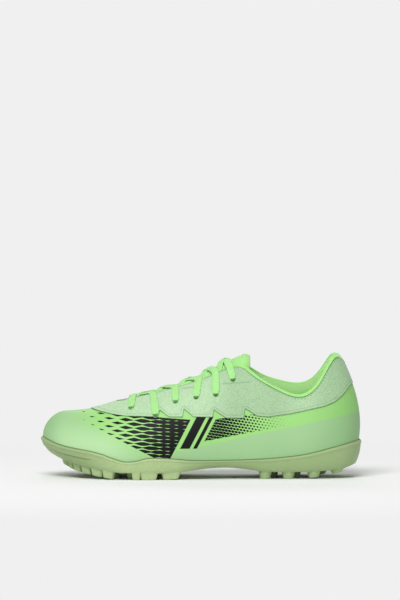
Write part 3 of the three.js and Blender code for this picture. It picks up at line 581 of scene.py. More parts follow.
def shell_material():
    t = Tree("shell", BRIGHT, 0.5, Specular_IOR_Level=0.22)
    # The bright middle fades into mint: softly over the toes, crisply along the quarter
    bright_rear = t.ramp(t.line(-107.5, 24.5, 34.5, 54.5), -1.2, 1.2)
    bright_front = t.ramp(t.line(-200.0, 52.0, -128.0, 14.0), -5.0, 15.0)
    ahead = t.ramp(t.x, -132.0, -100.0)
    bright = t.add(t.mul(bright_rear, ahead), t.mul(bright_front, t.sub(1.0, ahead)))
    bright = t.mul(bright, t.ramp(t.x, -212.0, -178.0))
    # Over the toe the mint is lighter low down: painted light that makes up for the shade on the toe's
    # lower curve
    mint_with_painted_light = t.color(t.ramp(t.z, 26.0, 58.0), rgb("aed59f"), rgb("99c38c"))
    mint_with_painted_light = t.color(t.ramp(t.x, -170.0, -120.0), mint_with_painted_light, MINT)
    base = t.color(bright, mint_with_painted_light, BRIGHT)
    # Painted shade: a little darker round the heel and at the tip of the toe
    for depth in (t.ramp(t.x, 0.0, 50.0, 0.0, 0.24), t.ramp(t.x, -227.0, -203.0, 0.28, 0.0)):
        base = t.color(depth, base, rgb("34702a"))
    ink = printed_figures(t)
    t.set("Base Color", t.color(ink, base, BLACK))
    t.set("Roughness", t.madd(ink, 0.08, 0.5))
    t.bump(t.noise(1500.0, 3.0), 0.05, 0.5)
    t.bump(t.noise(90.0), 0.35, 0.25)
    t.bump(ink, 0.04, 0.6)
    return t.material


def panel_material():
    t = Tree("panel", PALE, 0.6, Sheen_Weight=0.12, Sheen_Roughness=0.5, Specular_IOR_Level=0.3)
    # Embossed grain: short ribs that lean, broken up into a fine weave
    wander = t.noise(60.0)
    ribs = t.sine(t.add(t.add(t.mul(t.x, 2.4), t.mul(t.z, 2.9)), t.mul(wander, 14.0)))
    cross = t.sine(t.add(t.sub(t.mul(t.x, 3.1), t.mul(t.z, 2.6)), t.mul(wander, 9.0)))
    broken = t.ramp(t.noise(260.0), 0.35, 0.65)
    grain = t.add(t.mul(ribs, t.madd(broken, 0.6, 0.25)), t.mul(cross, 0.4))
    t.bump(grain, 0.13, 0.9)
    t.bump(t.noise(900.0), 0.08, 0.6)
    # Sunk lines: one follows the lower edge, and two short seams stand on their own
    edge, seam = t.attribute("edge"), t.attribute("seam")
    line = t.absolute(t.sub(edge, 2.2))
    short = 0.0
    for x0, z0, x1, z1 in SHORT_SEAMS:
        off = t.absolute(t.line(x0, z0, x1, z1))
        here = t.mul(t.ramp(t.x, x0 - 1.5, x0 + 0.5), t.ramp(t.x, x1 + 1.5, x1 - 1.0))
        short = t.add(short, t.mul(t.ramp(off, 0.75, 0.15), here))
    raised = t.mul(t.mul(t.ramp(line, 0.15, 0.6), t.ramp(edge, 0.0, 0.7)), t.sub(1.0, short))
    t.bump(raised, 0.3, 0.8)
    # Darker in the grain, at the lower border and the lines; painted shade over the quarter's hollow, round
    # the heel and along the top edge under the collar strip
    speck = t.ramp(t.noise(700.0), 0.3, 0.7, -1.0, 1.0)
    shade = t.madd(grain, 0.09, t.madd(speck, 0.09, 0.86))
    quarter = t.mul(t.ramp(t.x, -85.0, -50.0), t.ramp(t.x, 15.0, -20.0))
    for part in (t.ramp(edge, 0.1, 0.75, 0.3, 1.0), t.ramp(seam, 0.55, 1.25),
                 t.ramp(line, 0.1, 0.5, 0.86, 1.0), t.madd(short, -0.35, 1.0),
                 t.madd(quarter, -0.27, 1.0), t.ramp(t.x, 0.0, 40.0, 1.0, 0.66)):
        shade = t.mul(shade, part)
    base = t.color(t.mul(shade, 1.0, clamp=True), rgb("5d8656"), PALE)
    # The dark line along the top edge, under the collar strip, is painted shade
    t.set("Base Color", t.color(t.ramp(seam, 0.35, 1.0), rgb("3f6638"), base))
    return t.material


def knit_material(name, color, deep, pitch=1.1, roughness=0.8, far=None):
    """A fine knit: staggered small loops. far is painted shade: the darker colour it takes well below the
    collar's rim.
    """
    t = Tree(name, color, roughness, Sheen_Weight=0.4, Sheen_Roughness=0.45)
    a = t.sine(t.mul(t.add(t.x, t.y), math.tau / pitch))
    b = t.sine(t.mul(t.add(t.z, t.mul(t.y, 0.35)), math.tau / (pitch * 0.8)))
    loops = t.mul(a, b)
    base = t.color(t.ramp(loops, -1.0, 0.4), deep, color)
    # Painted shade: darker and deeper green well below the collar's rim
    if far:
        base = t.color(t.ramp(t.attribute("rim"), 6.0, 15.0), base, far)
    t.set("Base Color", base)
    t.bump(loops, 0.16, 0.6)
    t.bump(t.noise(700.0), 0.1, 0.4)
    return t.material


def lace_material():
    """A flat woven lace: slanting ribs that meet in its middle, and fine cords along it."""
    t = Tree("lace", GLOW, 0.72, Sheen_Weight=0.35, Sheen_Roughness=0.4)
    node = t.nodes.new("ShaderNodeUVMap")
    node.uv_map = "weave"
    run, across, _ = t.split(node.outputs[0])
    rib = t.sine(t.mul(t.add(run, t.mul(t.absolute(across), 0.8)), math.tau / 1.05))
    cord = t.sine(t.mul(across, math.tau / 0.9))
    weave = t.add(t.mul(rib, 0.6), t.mul(cord, 0.4))
    t.set("Base Color", t.color(t.ramp(weave, -0.9, 0.3), rgb("7fcf68"), GLOW))
    t.bump(weave, 0.14, 0.8)
    return t.material


def sole_material():
    t = Tree("sole", OLIVE, 0.52, Specular_IOR_Level=0.35)
    cloud = t.noise(35.0, 3.0)
    tone_and_painted_light = t.color(cloud, rgb("a5bb84"), rgb("b4ca94"))
    # Paler over the ball, deeper under toe, waist and heel
    ball = t.mul(t.ramp(t.x, -195.0, -150.0), t.ramp(t.x, -75.0, -110.0))
    tone_and_painted_light = t.color(t.madd(ball, 0.7, 0.3), rgb("8da672"), tone_and_painted_light)
    # Painted light: lighter on the studs and the sole's lowest edge, to make up for the shade they stand in
    tone_and_painted_light = t.color(t.ramp(t.z, 11.0, 6.0, 0.0, 0.12), tone_and_painted_light, rgb("c6dba6"))
    # Painted shade in the toe's groove
    tone_and_painted_light = t.color(t.ramp(t.attribute("groove"), 0.2, 0.8), tone_and_painted_light, rgb("4f6638"))
    speck = t.ramp(t.noise(800.0), 0.3, 0.7, 0.0, 0.2)
    t.set("Base Color", t.color(speck, tone_and_painted_light, rgb("7d9462")))
    t.set("Roughness", t.ramp(t.noise(160.0, 3.0), 0.3, 0.7, 0.46, 0.6))
    t.bump(t.noise(650.0, 3.0, roughness=0.6), 0.3, 0.7)
    t.bump(t.noise(1300.0), 0.07, 0.5)
    return t.material


def thread_material(name, color):
    t = Tree(name, color, 0.6, Sheen_Weight=0.3)
    t.bump(t.sine(t.mul(t.add(t.x, t.add(t.y, t.z)), 9.0)), 0.08, 0.7)
    return t.material


# A dark green for the rods that punch the eyelets: painted shade meant for the inside of the holes
def hole_material():
    t = Tree("hole", rgb("2c4a28"), 0.9)
    t.bump(t.noise(900.0), 0.1, 0.5)
    return t.material


SHELL = shell_material()
PANEL = panel_material()
# The lining's darker colour deep inside is painted shade
LINING = knit_material("lining", LIME, rgb("c2ff9b"), far=rgb("86e363"))
STRIP = knit_material("collar_knit", rgb("a9e888"), rgb("90da6c"))
TONGUE = knit_material("tongue_knit", rgb("ace88f"), rgb("99dc7a"), 0.95)
FOOTBED = knit_material("footbed_cloth", rgb("7fdc5c"), rgb("62bd45"), 1.3)
LACE = lace_material()
SOLE_RUBBER = sole_material()
THREAD = thread_material("thread", rgb("83b37a"))
BRIGHT_THREAD = thread_material("bright_thread", rgb("7fe060"))
HOLE = hole_material()
# A dark green for the tube of painted shade where the upper meets the sole's rim
RIM_SHADOW = thread_material("rim_shadow", rgb("6c8a52"))


def dent(u, v):
    """Soft wear of the shape: pulls at the eyelets and faint creases over the ball."""
    p = last_point(u, v)
    out = np.zeros(p.shape[:-1])
    for side in (-1, 1):
        for spot in EYELET_PLACES[side]:
            d2 = ((p - spot) ** 2).sum(-1)
            out -= 0.45 * np.exp(-d2 / 30.0) - 0.22 * np.exp(-d2 / 190.0)
    for along, low, depth, width, lean in CREASES:
        x0 = to_x(along) + lean * (p[..., 2] - 45)
        out -= depth * np.exp(-((p[..., 0] - x0) / width) ** 2) * smooth((p[..., 2] - low) / 12)
    return out


def place_on_wall(along, height, lateral):
    """The section and wall height at which a side view's place is met."""
    def up_to(section):
        u = round_at(section, lateral)
        edge = float(edge_of(np.array([u]))[0])
        v = halve(0.1, edge, lambda v: last_point(u, v)[2] < height * INSTEP, 26)
        return float(u), float(v)

    def ahead(section):
        return to_along(last_point(*up_to(section))[0]) > along

    section = float(halve(THROAT_START, THROAT_FULL + 0.5, ahead, 24))
    return (section, *up_to(section))


PLACES = {side: [place_on_wall(a, h, side < 0) for a, h in EYELETS] for side in (-1, 1)}
EYELET_PLACES = {side: [last_point(u, v) for _, u, v in PLACES[side]] for side in (-1, 1)}


def shell_grid(first_v, last_v, rows, crowd, offset):
    """Columns round the shoe between two heights of the wall, with the offset given as a function."""
    share = 1 - (1 - np.linspace(0, 1, rows + 1)) ** crowd
    v = first_v[:, None] + (last_v - first_v)[:, None] * share[None]
    u = np.repeat(ROUND[:, None], rows + 1, 1)
    return u, v, surface(u, v, offset(u, v))


def weld_ids(start, rows):
    """Vertex numbers of a grid whose last row is shared by both sides over the toes."""
    ids = start + np.arange(COUNT * (rows + 1)).reshape(COUNT, rows + 1)
    for k in range(COUNT):
        if ROUND_SECTION[k] <= THROAT_START + 1e-9 and PARTNER[k] < k:
            ids[k, rows] = ids[PARTNER[k], rows]
    return ids


def row_arc(points):
    """Distance down from the last row along each column."""
    steps = np.linalg.norm(np.diff(points, axis=1), axis=-1)
    return np.concatenate([np.cumsum(steps[:, ::-1], 1)[:, ::-1], np.zeros((len(points), 1))], 1)


def eyelet_frames():
    """Middle, normal and two directions across, for every eyelet."""
    for side in (-1, 1):
        for _, u, v in PLACES[side]:
            centre, normal = last_point(u, v), last_normal(u, v)
            across = unit(np.cross(normal, [0, 0, 1.0]))
            yield centre, normal, across, np.cross(normal, across)


def ring_of(sides, first, second):
    """Directions all round, between two that are square to each other."""
    angle = math.tau * np.arange(sides)[:, None] / sides
    return first * np.cos(angle) + second * np.sin(angle)


def eyelet_pins():
    """Rods that punch the eyelets."""
    parts = []
    for centre, normal, first, second in eyelet_frames():
        ring = centre + EYELET_RADIUS * ring_of(20, first, second)
        ids = np.arange(40).reshape(2, 20)
        ends = [tuple(ids[0][::-1].tolist()), tuple(ids[1].tolist())]
        rod = np.concatenate([ring - normal * 5.0, ring + normal * 4.0])
        parts.append((rod, ends + quads(closed(ids)[:, ::-1])))
    pins = make("pins", *join(parts), [HOLE])
    bpy.context.view_layer.update()
    return bmesh_fixed(pins)


def bmesh_fixed(obj):
    """Turns all faces of a piece outward."""
    bm = bmesh.new()
    bm.from_mesh(obj.data)
    bmesh.ops.recalc_face_normals(bm, faces=bm.faces)
    bm.to_mesh(obj.data)
    bm.free()
    return obj


def padding(section, v):
    """How much thicker the collar's padding makes the wall."""
    return PADDING * smooth((section - 9.4) / 1.4) * smooth((v - 0.45) / 0.4)


def rim_distance(obj, line):
    """How far each point of a piece lies from a line of places, in millimetres."""
    tree = KDTree(len(line))
    for k, place in enumerate(line):
        tree.insert(place, k)
    tree.balance()
    return [tree.find(v.co * 1000.0)[2] for v in obj.data.vertices]


def set_values(obj, name, values):
    layer = obj.data.attributes.new(name, "FLOAT", "POINT")
    layer.data.foreach_set("value", np.asarray(values, np.float32))


def make_upper():
    rows, deep, arcs = 56, 30, 8
    zero = np.zeros(COUNT)

    def swell(u, v):
        # The bright strip along the collar's rim stands a little proud
        edge = np.repeat(ROUND_EDGE[:, None], v.shape[1], 1)
        near = smooth((v - (edge - 0.12)) / 0.05) * smooth((edge + 0.02 - v) / 0.06)
        return dent(u, v) + 0.45 * near * smooth((section_of(u) - 8.6) / 0.8)

    u, v, outer = shell_grid(zero, ROUND_EDGE, rows, 1.4, swell)
    _, _, inner = shell_grid(zero, ROUND_EDGE, deep, 1.5,
                             lambda u, v: -(WALL + padding(section_of(u), v)))
    ids = weld_ids(0, rows)
    inner_ids = weld_ids(outer[..., 0].size, deep)
    points = [outer.reshape(-1, 3), inner.reshape(-1, 3)]
    faces = quads(ids, True)
    arc = row_arc(outer)
    strip = (arc < 4.5) & (ROUND_SECTION > 8.4)[:, None]
    slots = strip[:, 1:].astype(int).ravel().tolist()
    inside = quads(inner_ids[:, ::-1], True)
    faces += inside
    slots += [2] * len(inside)
    # The rolled edge of throat and collar
    a, b = outer[OPEN, -1], inner[OPEN, -1]
    rise = unit(outer[OPEN, -1] - outer[OPEN, -4])
    height = (0.5 + 1.0 * smooth(ROUND_SECTION[OPEN] - THROAT_FULL + 0.5))[:, None]
    angle = np.linspace(0, math.pi, arcs + 1)
    roll = ((a + b) / 2)[:, None] + ((a - b) / 2)[:, None] * np.cos(angle)[None, :, None] \
        + (rise * height)[:, None] * np.sin(angle)[None, :, None]
    start = sum(len(p) for p in points)
    points.append(roll.reshape(-1, 3))
    roll_ids = start + np.arange(len(OPEN) * (arcs + 1)).reshape(len(OPEN), arcs + 1)
    roll_ids[:, 0] = ids[OPEN, -1]
    roll_ids[:, -1] = inner_ids[OPEN, -1]
    rolled = quads(roll_ids)
    faces += rolled
    slots += [1] * len(rolled)
    # The foot of the wall
    foot = quads(np.stack([inner_ids[:, 0], ids[:, 0]], 1), True)
    faces += foot
    slots += [2] * len(foot)
    obj = make("upper_shell", np.concatenate(points), faces, [SHELL, STRIP, LINING], slots)
    cut(obj, PINS, "DIFFERENCE")
    # Distance from the rim, which sets the lining's painted shade
    set_values(obj, "rim", rim_distance(obj, outer[OPEN, -1]))
    return finish_piece(obj, "upper", "upper")


def below(u, edge, distance):
    """The wall height that lies a distance in millimetres below an edge."""
    pace = np.linalg.norm(last_point(u, edge) - last_point(u, edge - 0.01), axis=-1) / 0.01
    return edge - distance / pace


def panel_outline():
    edge = np.array([(float(to_x(a)), h * COLLAR) for a, h in PANEL_EDGE])
    top = np.array([(float(to_x(-0.1)), COLLAR * 1.3), (float(to_x(0.9)), COLLAR * 1.3)])
    return edge, np.concatenate([edge, top])


def away_from(points, line):
    """Side view distance of each point to an open line of places."""
    p = points[:, (0, 2)]
    best = np.full(len(p), 1e9)
    for a, b in zip(line[:-1], line[1:]):
        d = b - a
        t = np.clip(((p - a) @ d) / (d @ d), 0, 1)
        best = np.minimum(best, np.linalg.norm(p - a - t[:, None] * d, axis=1))
    return best


def make_panel():
    rows = 44
    margin = np.interp(ROUND_SECTION, *COLLAR_STRIP)
    top = below(ROUND, ROUND_EDGE, margin)
    first = ROUND_EDGE * 0.36
    taper = np.ones(rows + 1)
    taper[-3:] = (0.94, 0.78, 0.45)
    u, v, outer = shell_grid(first, top, rows, 1.3, lambda u, v: dent(u, v) + PANEL_LIFT * taper)
    _, _, inner = shell_grid(first, top, rows, 1.3, lambda u, v: dent(u, v) + 0.06)
    ids = weld_ids(0, rows)
    inner_ids = weld_ids(outer[..., 0].size, rows)
    faces = quads(ids, True) + quads(inner_ids[:, ::-1], True)
    faces += quads(np.stack([ids[OPEN, -1], inner_ids[OPEN, -1]], 1))
    faces += quads(np.stack([inner_ids[:, 0], ids[:, 0]], 1), True)
    obj = make("panel", np.concatenate([outer.reshape(-1, 3), inner.reshape(-1, 3)]), faces, [PANEL])
    edge, whole = panel_outline()
    n = len(whole)
    prism_points = [(x, y, z) for y in (-PRISM_REACH, PRISM_REACH) for x, z in whole]
    prism_faces = [tuple(range(n)), tuple(range(n, 2 * n))[::-1]]
    prism_faces += [(k, n + k, n + (k + 1) % n, (k + 1) % n) for k in range(n)]
    prism = bmesh_fixed(make("prism", prism_points, prism_faces, [PANEL]))
    cut(obj, prism, "INTERSECT")
    drop(prism)
    cut(obj, PINS, "DIFFERENCE")
    set_values(obj, "edge", away_from(np.array([v.co * 1000.0 for v in obj.data.vertices]), edge))
    # Distance from the rim, which places the painted shade along the panel's top edge
    set_values(obj, "seam", rim_distance(obj, outer[OPEN, -1]))
    obj.data.set_sharp_from_angle(angle=math.radians(42))
    return finish_piece(obj, "overlay", "overlay")


def tongue_half(section):
    free = smooth((section - 8.2) / 1.2)
    return mix(throat_half(section) + 8.0, 23.0, free)


def on_crest(section, reach_mm, offset):
    """A place across the instep: reach_mm is negative on the lateral side."""
    u = round_at(section, reach_mm < 0)
    step = 0.02
    one = np.ones_like(section)
    pace = np.linalg.norm(last_point(u, one, CREST) - last_point(u, one - step, CREST), axis=-1) / step
    return surface(u, 1 - np.abs(reach_mm) / pace, offset, CREST)


def make_tongue():
    long, cells = 130, 44
    section = np.concatenate([np.linspace(3.2, 9.62, long), [9.66, 9.69, 9.705]])
    end = np.clip((section - 9.25) / 0.455, 0, 1)
    half = tongue_half(section) * (1 - 0.22 * end**5)
    w = np.linspace(-1, 1, cells + 1)
    w = mix(np.sin(w * math.pi / 2), w, 0.55)
    s = np.repeat(section[:, None], cells + 1, 1)
    reach = half[:, None] * w[None]
    laced = 1 - smooth((s - 7.9) / 1.1)
    # Between the flaps the tongue stands up, and under them it lies lower
    share = np.abs(reach) / np.maximum(throat_half(section), 1.0)[:, None]
    centre = -4.05 + 2.0 * (1 - smooth((share - 0.5) / 0.5)) * laced
    centre = centre - 1.5 * smooth((s - 9.35) / 0.36) ** 1.5
    centre = centre - 3.0 * (1 - laced) * smooth((np.abs(reach) - 13.0) / 9.0)
    # It is rounded at its sides and both ends, with a hem along the free end
    body = np.sqrt(np.clip(1 - np.abs(w) ** 7, 0, 1))[None]
    tip = np.sqrt(np.clip(1 - np.clip((s - 9.55) / 0.16, 0, 1) ** 2, 0.0, 1))
    body = body * tip * np.sqrt(np.clip((s - 3.2) / 0.25, 0.04, 1))
    hem = 0.45 * smooth((s - 9.32) / 0.02) - 0.35 * np.exp(-((s - 9.31) / 0.012) ** 2)
    quilt = 0.14 * np.sin(reach * 0.9) * np.sin(s * 9.0)
    top = on_crest(s, reach, centre + (1.3 + hem + quilt) * body)
    low = on_crest(s, reach, centre - 1.3 * body)
    obj = bmesh_fixed(make("tongue_pad", *slab(top, low), [TONGUE]))
    return finish_piece(obj, "tongue", "tongue")


def make_footbed():
    cells = 28
    half = HALF_STATIONS[::2]
    a = surface(half, 0 * half, -WALL - SEAT)
    b = surface(TURN - half, 0 * half, -WALL - SEAT)
    w = np.linspace(0, 1, cells + 1)
    grid = mix(a[:, None], b[:, None], w[None, :, None])
    side = np.abs(2 * w - 1)[None]
    heel = smooth((to_along(grid[..., 0]) - 0.6) / -0.3)
    cup = 2.2 * smooth((side - 0.55) / 0.45) * mix(0.35, 1.0, heel)
    round_edge = -0.9 * smooth((side - 0.93) / 0.07)
    low = grid.copy()
    low[..., 2] = bed_height(grid[..., 0]) + SEAT
    grid[..., 2] = low[..., 2] + FOOTBED_THICK + cup + round_edge
    obj = bmesh_fixed(make("footbed", *slab(grid, low), [FOOTBED]))
    return finish_piece(obj, "insole", "insole")


def rim_crossing(offset):
    """How far up the wall the sole's rim reaches, all round."""
    def under(v):
        p = surface(ROUND, v, offset)
        return p[:, 2] < rim_height(p[:, 0])

    return halve(np.zeros(COUNT), np.full(COUNT, 0.6), under)


def tread_relief(x, y, share):
    """Low relief between the studs: grooves across the ball and ribs along the waist."""
    along = to_along(x)
    fade = smooth((0.5 - np.abs(share - 0.5)) / 0.12)
    waist = smooth((along - 0.335) / 0.02) * smooth((0.535 - along) / 0.02)
    ribs = 0.7 * waist * (0.5 + 0.5 * np.cos(math.tau * y / 7.5))
    flex = 0.0
    for at in FLEX_GROOVES:
        flex = flex + 0.8 * np.exp(-((along - at + 0.0006 * np.abs(y)) / 0.0035) ** 2)
    return fade * (ribs + flex)


def make_sole():
    crossing = rim_crossing(SEAT)
    out = outward(ROUND)
    inner = surface(ROUND, crossing, SEAT)
    rim = surface(ROUND, crossing, SEAT + RIM_WALL)
    rim[:, 2] = inner[:, 2] - RIM_WALL / 4
    edge = foot_point(ROUND) - out * HALF * spline(TUCK, ROUND)[:, None]
    edge[:, 2] = base_height(edge[:, 0])
    bend = mix(rim, edge, 0.16)
    bend[:, 2] = mix(edge[:, 2], rim[:, 2], 0.16)
    along = to_along(rim[:, 0])
    stepped = smooth((along - 0.8) / 0.1)
    heel = smooth((0.05 - along) / 0.04)
    levels = (0.0, 0.02, 0.045, 0.07, 0.1, 0.14, 0.19, 0.24, 0.275, 0.29, 0.3, 0.31, 0.32, 0.335,
              0.36, 0.42, 0.5, 0.58, 0.66, 0.74, 0.82, 0.89, 0.945)
    rings = [surface(ROUND, crossing * (1 - d), SEAT) for d in (0.6, 0.25)] + [inner]
    # The rim's rounded top
    for angle in (0.3, 0.5, 0.7):
        c = (inner + rim) / 2 + (inner - rim) / 2 * math.cos(math.pi * angle)
        c[:, 2] += 0.55 * math.sin(math.pi * angle)
        rings.append(c)
    # The side wall: a bead under the rim, the toe's step with its groove, and ribs round the heel
    grooves = {}
    for t in levels:
        p = rim * (1 - t) ** 2 + bend * 2 * t * (1 - t) + edge * t * t
        step = TOE_STEP * float(smooth((t - 0.29) / 0.03) * (1 - smooth((t - 0.55) / 0.4)))
        inset = stepped * (step + 0.45 * math.exp(-((t - 0.305) / 0.01) ** 2))
        bead = 0.4 * smooth(t / 0.02) * (1 - smooth((t - 0.06) / 0.035))
        wave = max(0.0, math.sin(math.tau * (t - 0.35) / 0.13)) if t > 0.35 else 0.0
        grooves[len(rings)] = math.exp(-((t - 0.305) / 0.013) ** 2) * smooth((along - 0.835) / 0.015)
        rings.append(p + out * (bead - inset - 0.35 * heel * wave)[:, None])
    for inset, up in ((0.0, 0.75), (0.3, 0.2), (0.95, 0.0)):
        p = edge - out * inset
        p[:, 2] = base_height(p[:, 0]) + up
        rings.append(p)
    grid = np.stack(rings, 1)
    ids = np.arange(grid[..., 0].size).reshape(grid.shape[:2])
    # The underside
    cells = 44
    last = rings[-1]
    n = len(HALF_STATIONS)
    left, right = np.arange(n), (COUNT - np.arange(n)) % COUNT
    w = np.linspace(0, 1, cells + 1)
    floor = mix(last[left][:, None], last[right][:, None], w[None, :, None])
    floor[..., 2] = base_height(floor[..., 0]) + tread_relief(floor[..., 0], floor[..., 1], w[None])
    floor_ids = ids.size + np.arange(n * (cells + 1)).reshape(n, cells + 1)
    floor_ids[:, 0] = ids[left, -1]
    floor_ids[:, -1] = ids[right, -1]
    body = np.concatenate([grid.reshape(-1, 3), floor.reshape(-1, 3)])
    skin = quads(ids[:, ::-1], True) + quads(floor_ids[:, ::-1])
    points, faces = join([(body, skin)] + [stud(*place) for place in studs()])
    # How much painted shade falls in the toe's groove, by point
    groove = np.zeros(len(points))
    for row, values in grooves.items():
        groove[ids[:, row]] = values
    obj = make("sole", points, faces, [SOLE_RUBBER])
    set_values(obj, "groove", groove)
    obj.data.set_sharp_from_angle(angle=math.radians(50))
    return finish_piece(obj, "outsole", "outsole")


def make_rim_shadow_line():
    """A thin dark tube where the upper meets the sole's rim: painted shade in the joint."""
    crossing = rim_crossing(SEAT)
    inner = surface(ROUND, crossing, SEAT)
    rise = unit(surface(ROUND, crossing + 0.02, SEAT) - inner)
    out = last_normal(ROUND, crossing)
    tube = (inner + rise * 0.75)[:, None] + 0.3 * ring_of(8, out[:, None], rise[:, None])
    ids = np.arange(COUNT * 8).reshape(COUNT, 8)
    seam = make("rim_shadow_line", tube, quads(closed(ids), True), [RIM_SHADOW])
    return finish_piece(bmesh_fixed(seam), "outsole")


def stud(centre, long, wide, heading, power, taper):
    """A moulded stud or lug: a flared root, a tapered side, a rounded edge and a flat tip."""
    sides = 40 if power == 1 else 36
    angle = math.tau * (np.arange(sides) + 0.5) / sides
    a, b = (np.sign(c) * np.abs(c) ** power for c in (np.cos(angle), np.sin(angle)))
    a, b = a * long / 2, b * wide / 2
    edge = 1.4 / max(long, wide)
    rings = []
    for share, high in ((1.12, 1.12), (1.09, 1.0), (1.03, 0.9), (1.0, 0.78), (mix(taper, 1, 0.5), 0.42),
                        (taper, 0.1), (taper - edge * 0.35, 0.03), (taper - edge, 0.0),
                        (taper * 0.55, 0.0), (taper * 0.5, 0.07), (0.02, 0.07)):
        x = centre[0] + share * (a * heading[0] - b * heading[1])
        y = centre[1] + share * (a * heading[1] + b * heading[0])
        rings.append(np.stack([x, y, mix(tread_height(x), base_height(x), high)], -1))
    ids = np.arange(len(rings) * sides).reshape(len(rings), sides)
    return np.concatenate(rings), quads(closed(ids)) + [tuple(ids[-1].tolist())]


def foot_at(along, lateral):
    section = halve(0.0, float(LAST), lambda s: to_along(foot_point(round_at(s, lateral))[0]) > along)
    return round_at(section, lateral)


def under_edge(along, lateral, inset):
    """A place a little inside the sole's lower edge, and the direction of the edge there."""
    u = foot_at(along, lateral)
    out = outward(u)
    return foot_point(u) - out * (HALF * spline(TUCK, u) + inset), (-out[1], out[0])


def studs():
    """Every lug and stud: place, length, width, heading, roundness and taper."""
    found = []

    def add_round(centre, size):
        found.append((centre, size, size, (1.0, 0.0), 1, STUD_TAPER))

    for lateral in (True, False):
        for along, long in EDGE_LUGS:
            point, heading = under_edge(along, lateral, LUG_INSET)
            found.append((point, long * LENGTH, LUG_WIDTH, heading, 0.45, LUG_TAPER))
        for along in HEEL_STUDS:
            add_round(under_edge(along, lateral, HEEL_STUD_INSET)[0], HEEL_STUD)
    for along in HEEL_MIDDLE:
        add_round((float(to_x(along)), 0.0), HEEL_STUD)
    for row, along in enumerate(TREAD_ROWS):
        first, second = (under_edge(along, lateral, TREAD_STUD_INSET)[0] for lateral in (True, False))
        gaps = max(1, round((second[1] - first[1]) / TREAD_STUD_PITCH))
        # Every other row is shifted by half a step
        for k in np.arange(0.5 * (row % 2), gaps + 0.01):
            centre = mix(first, second, k / gaps)
            add_round((float(to_x(along)), centre[1]), TREAD_STUD)
    return found


def over_edge(side, i):
    """Where a strand crosses the throat's edge on its way to an eyelet, as section and share across."""
    wanted = EYELET_PLACES[side][i][0] + STRAND_LEAN[i]

    def edge_at(section):
        u = float(round_at(section, side < 0))
        return u, float(edge_of(np.array([u]))[0])

    section = halve(THROAT_START + 0.05, THROAT_FULL + 0.5,
                    lambda s: last_point(*edge_at(s))[0] < wanted, 26)
    return float(section), side * (1 - edge_at(section)[1])


def lace_line(start, turn, end, heights, extend):
    """The middle of a strand: across the throat, over its edge and down to the eyelet."""
    places = [np.asarray(p, float) for p in (start, turn, end)]
    solid = [last_point(float(round_at(p[0], p[1] < 0)), 1 - abs(p[1])) for p in places]
    first, second = (float(np.linalg.norm(solid[i + 1] - solid[i])) for i in (0, 1))
    bend = first / (first + second)
    t = np.linspace(-extend, 1, 120)
    knots = [-extend, 0.0, bend, 1.0]
    stops = np.array([places[0] - (places[1] - places[0]) * extend / bend, *places])
    kernel = np.hanning(23)
    kernel /= kernel.sum()

    def eased(values, **padding_mode):
        return np.convolve(np.pad(values, 11, **padding_mode), kernel, "valid")

    section, across = (eased(np.interp(t, knots, stops[:, j]), mode="reflect", reflect_type="odd")
                       for j in (0, 1))
    at = [share * bend if before else 1 - share * (1 - bend) for before, share, _ in heights]
    lift = eased(np.interp(t, at, [high for *_, high in heights]), mode="edge")
    u = round_at(section, across < 0)
    v = 1 - np.abs(across)
    edge = 1 - edge_of(u)
    on_flap = smooth((np.abs(across) / np.maximum(edge, 0.01) - 0.35) / 0.65)[:, None]
    point = mix(surface(u, v, lift, CREST), surface(u, v, lift), on_flap)
    normal = unit(mix(last_normal(u, v, CREST), last_normal(u, v), on_flap))
    return point, normal


def dive(point, normal, place):
    """Bends the end of a strand down through its eyelet. The third value counts the added points."""
    u = float(round_at(place[0], place[1] < 0))
    v = 1 - abs(place[1])
    spot, axis = last_point(u, v), last_normal(u, v)
    away = np.linalg.norm(point - spot - (point - spot) @ axis[:, None] * axis, axis=1)
    keep = away > 1.9
    keep[: len(keep) // 2] = True
    point, normal = point[keep], normal[keep]
    reach = point[-1] - spot
    level = reach @ axis
    side = unit(reach - level * axis)
    bend = [spot + side * (0.2 + 1.25 * math.cos(a)) + axis * (level - 1.3 + 1.3 * math.sin(a))
            for a in np.linspace(1.25, -0.1, 8)]
    down = [spot + side * 0.9 + axis * (level - 1.4 - d) for d in (0.7, 1.5, 2.4)]
    extra = np.array(bend + down)
    straight = np.repeat(axis[None], len(extra), 0)
    return np.concatenate([point, extra]), np.concatenate([normal, straight]), len(extra)


def ribbon(point, normal, width, thick, side_fixed):
    """A flat lace with rounded sides along a line of places."""
    run = unit(np.gradient(point, axis=0))
    side = unit(np.cross(normal, run))
    for i, j in side_fixed:
        side[i] = side[j]
    up = unit(np.cross(run, side))
    around = 16
    angle = math.tau * (np.arange(around) + 0.5) / around
    a, b = (0.5 * np.sign(c) * np.abs(c) ** 0.75 for c in (np.cos(angle), np.sin(angle)))
    rings = point[:, None] + side[:, None] * a[None, :, None] * width[:, None, None] \
        + up[:, None] * b[None, :, None] * thick[:, None, None]
    gone = np.concatenate([[0], np.cumsum(np.linalg.norm(np.diff(point, axis=0), axis=1))])
    uv = np.stack([np.repeat(gone[:, None], around, 1), a[None] * width[:, None]], -1)
    ids = np.arange(len(point) * around).reshape(len(point), around)
    ends = [tuple(ids[0].tolist()), tuple(ids[-1][::-1].tolist())]
    return rings.reshape(-1, 3), quads(closed(ids)[:, ::-1]) + ends, uv.reshape(-1, 2)


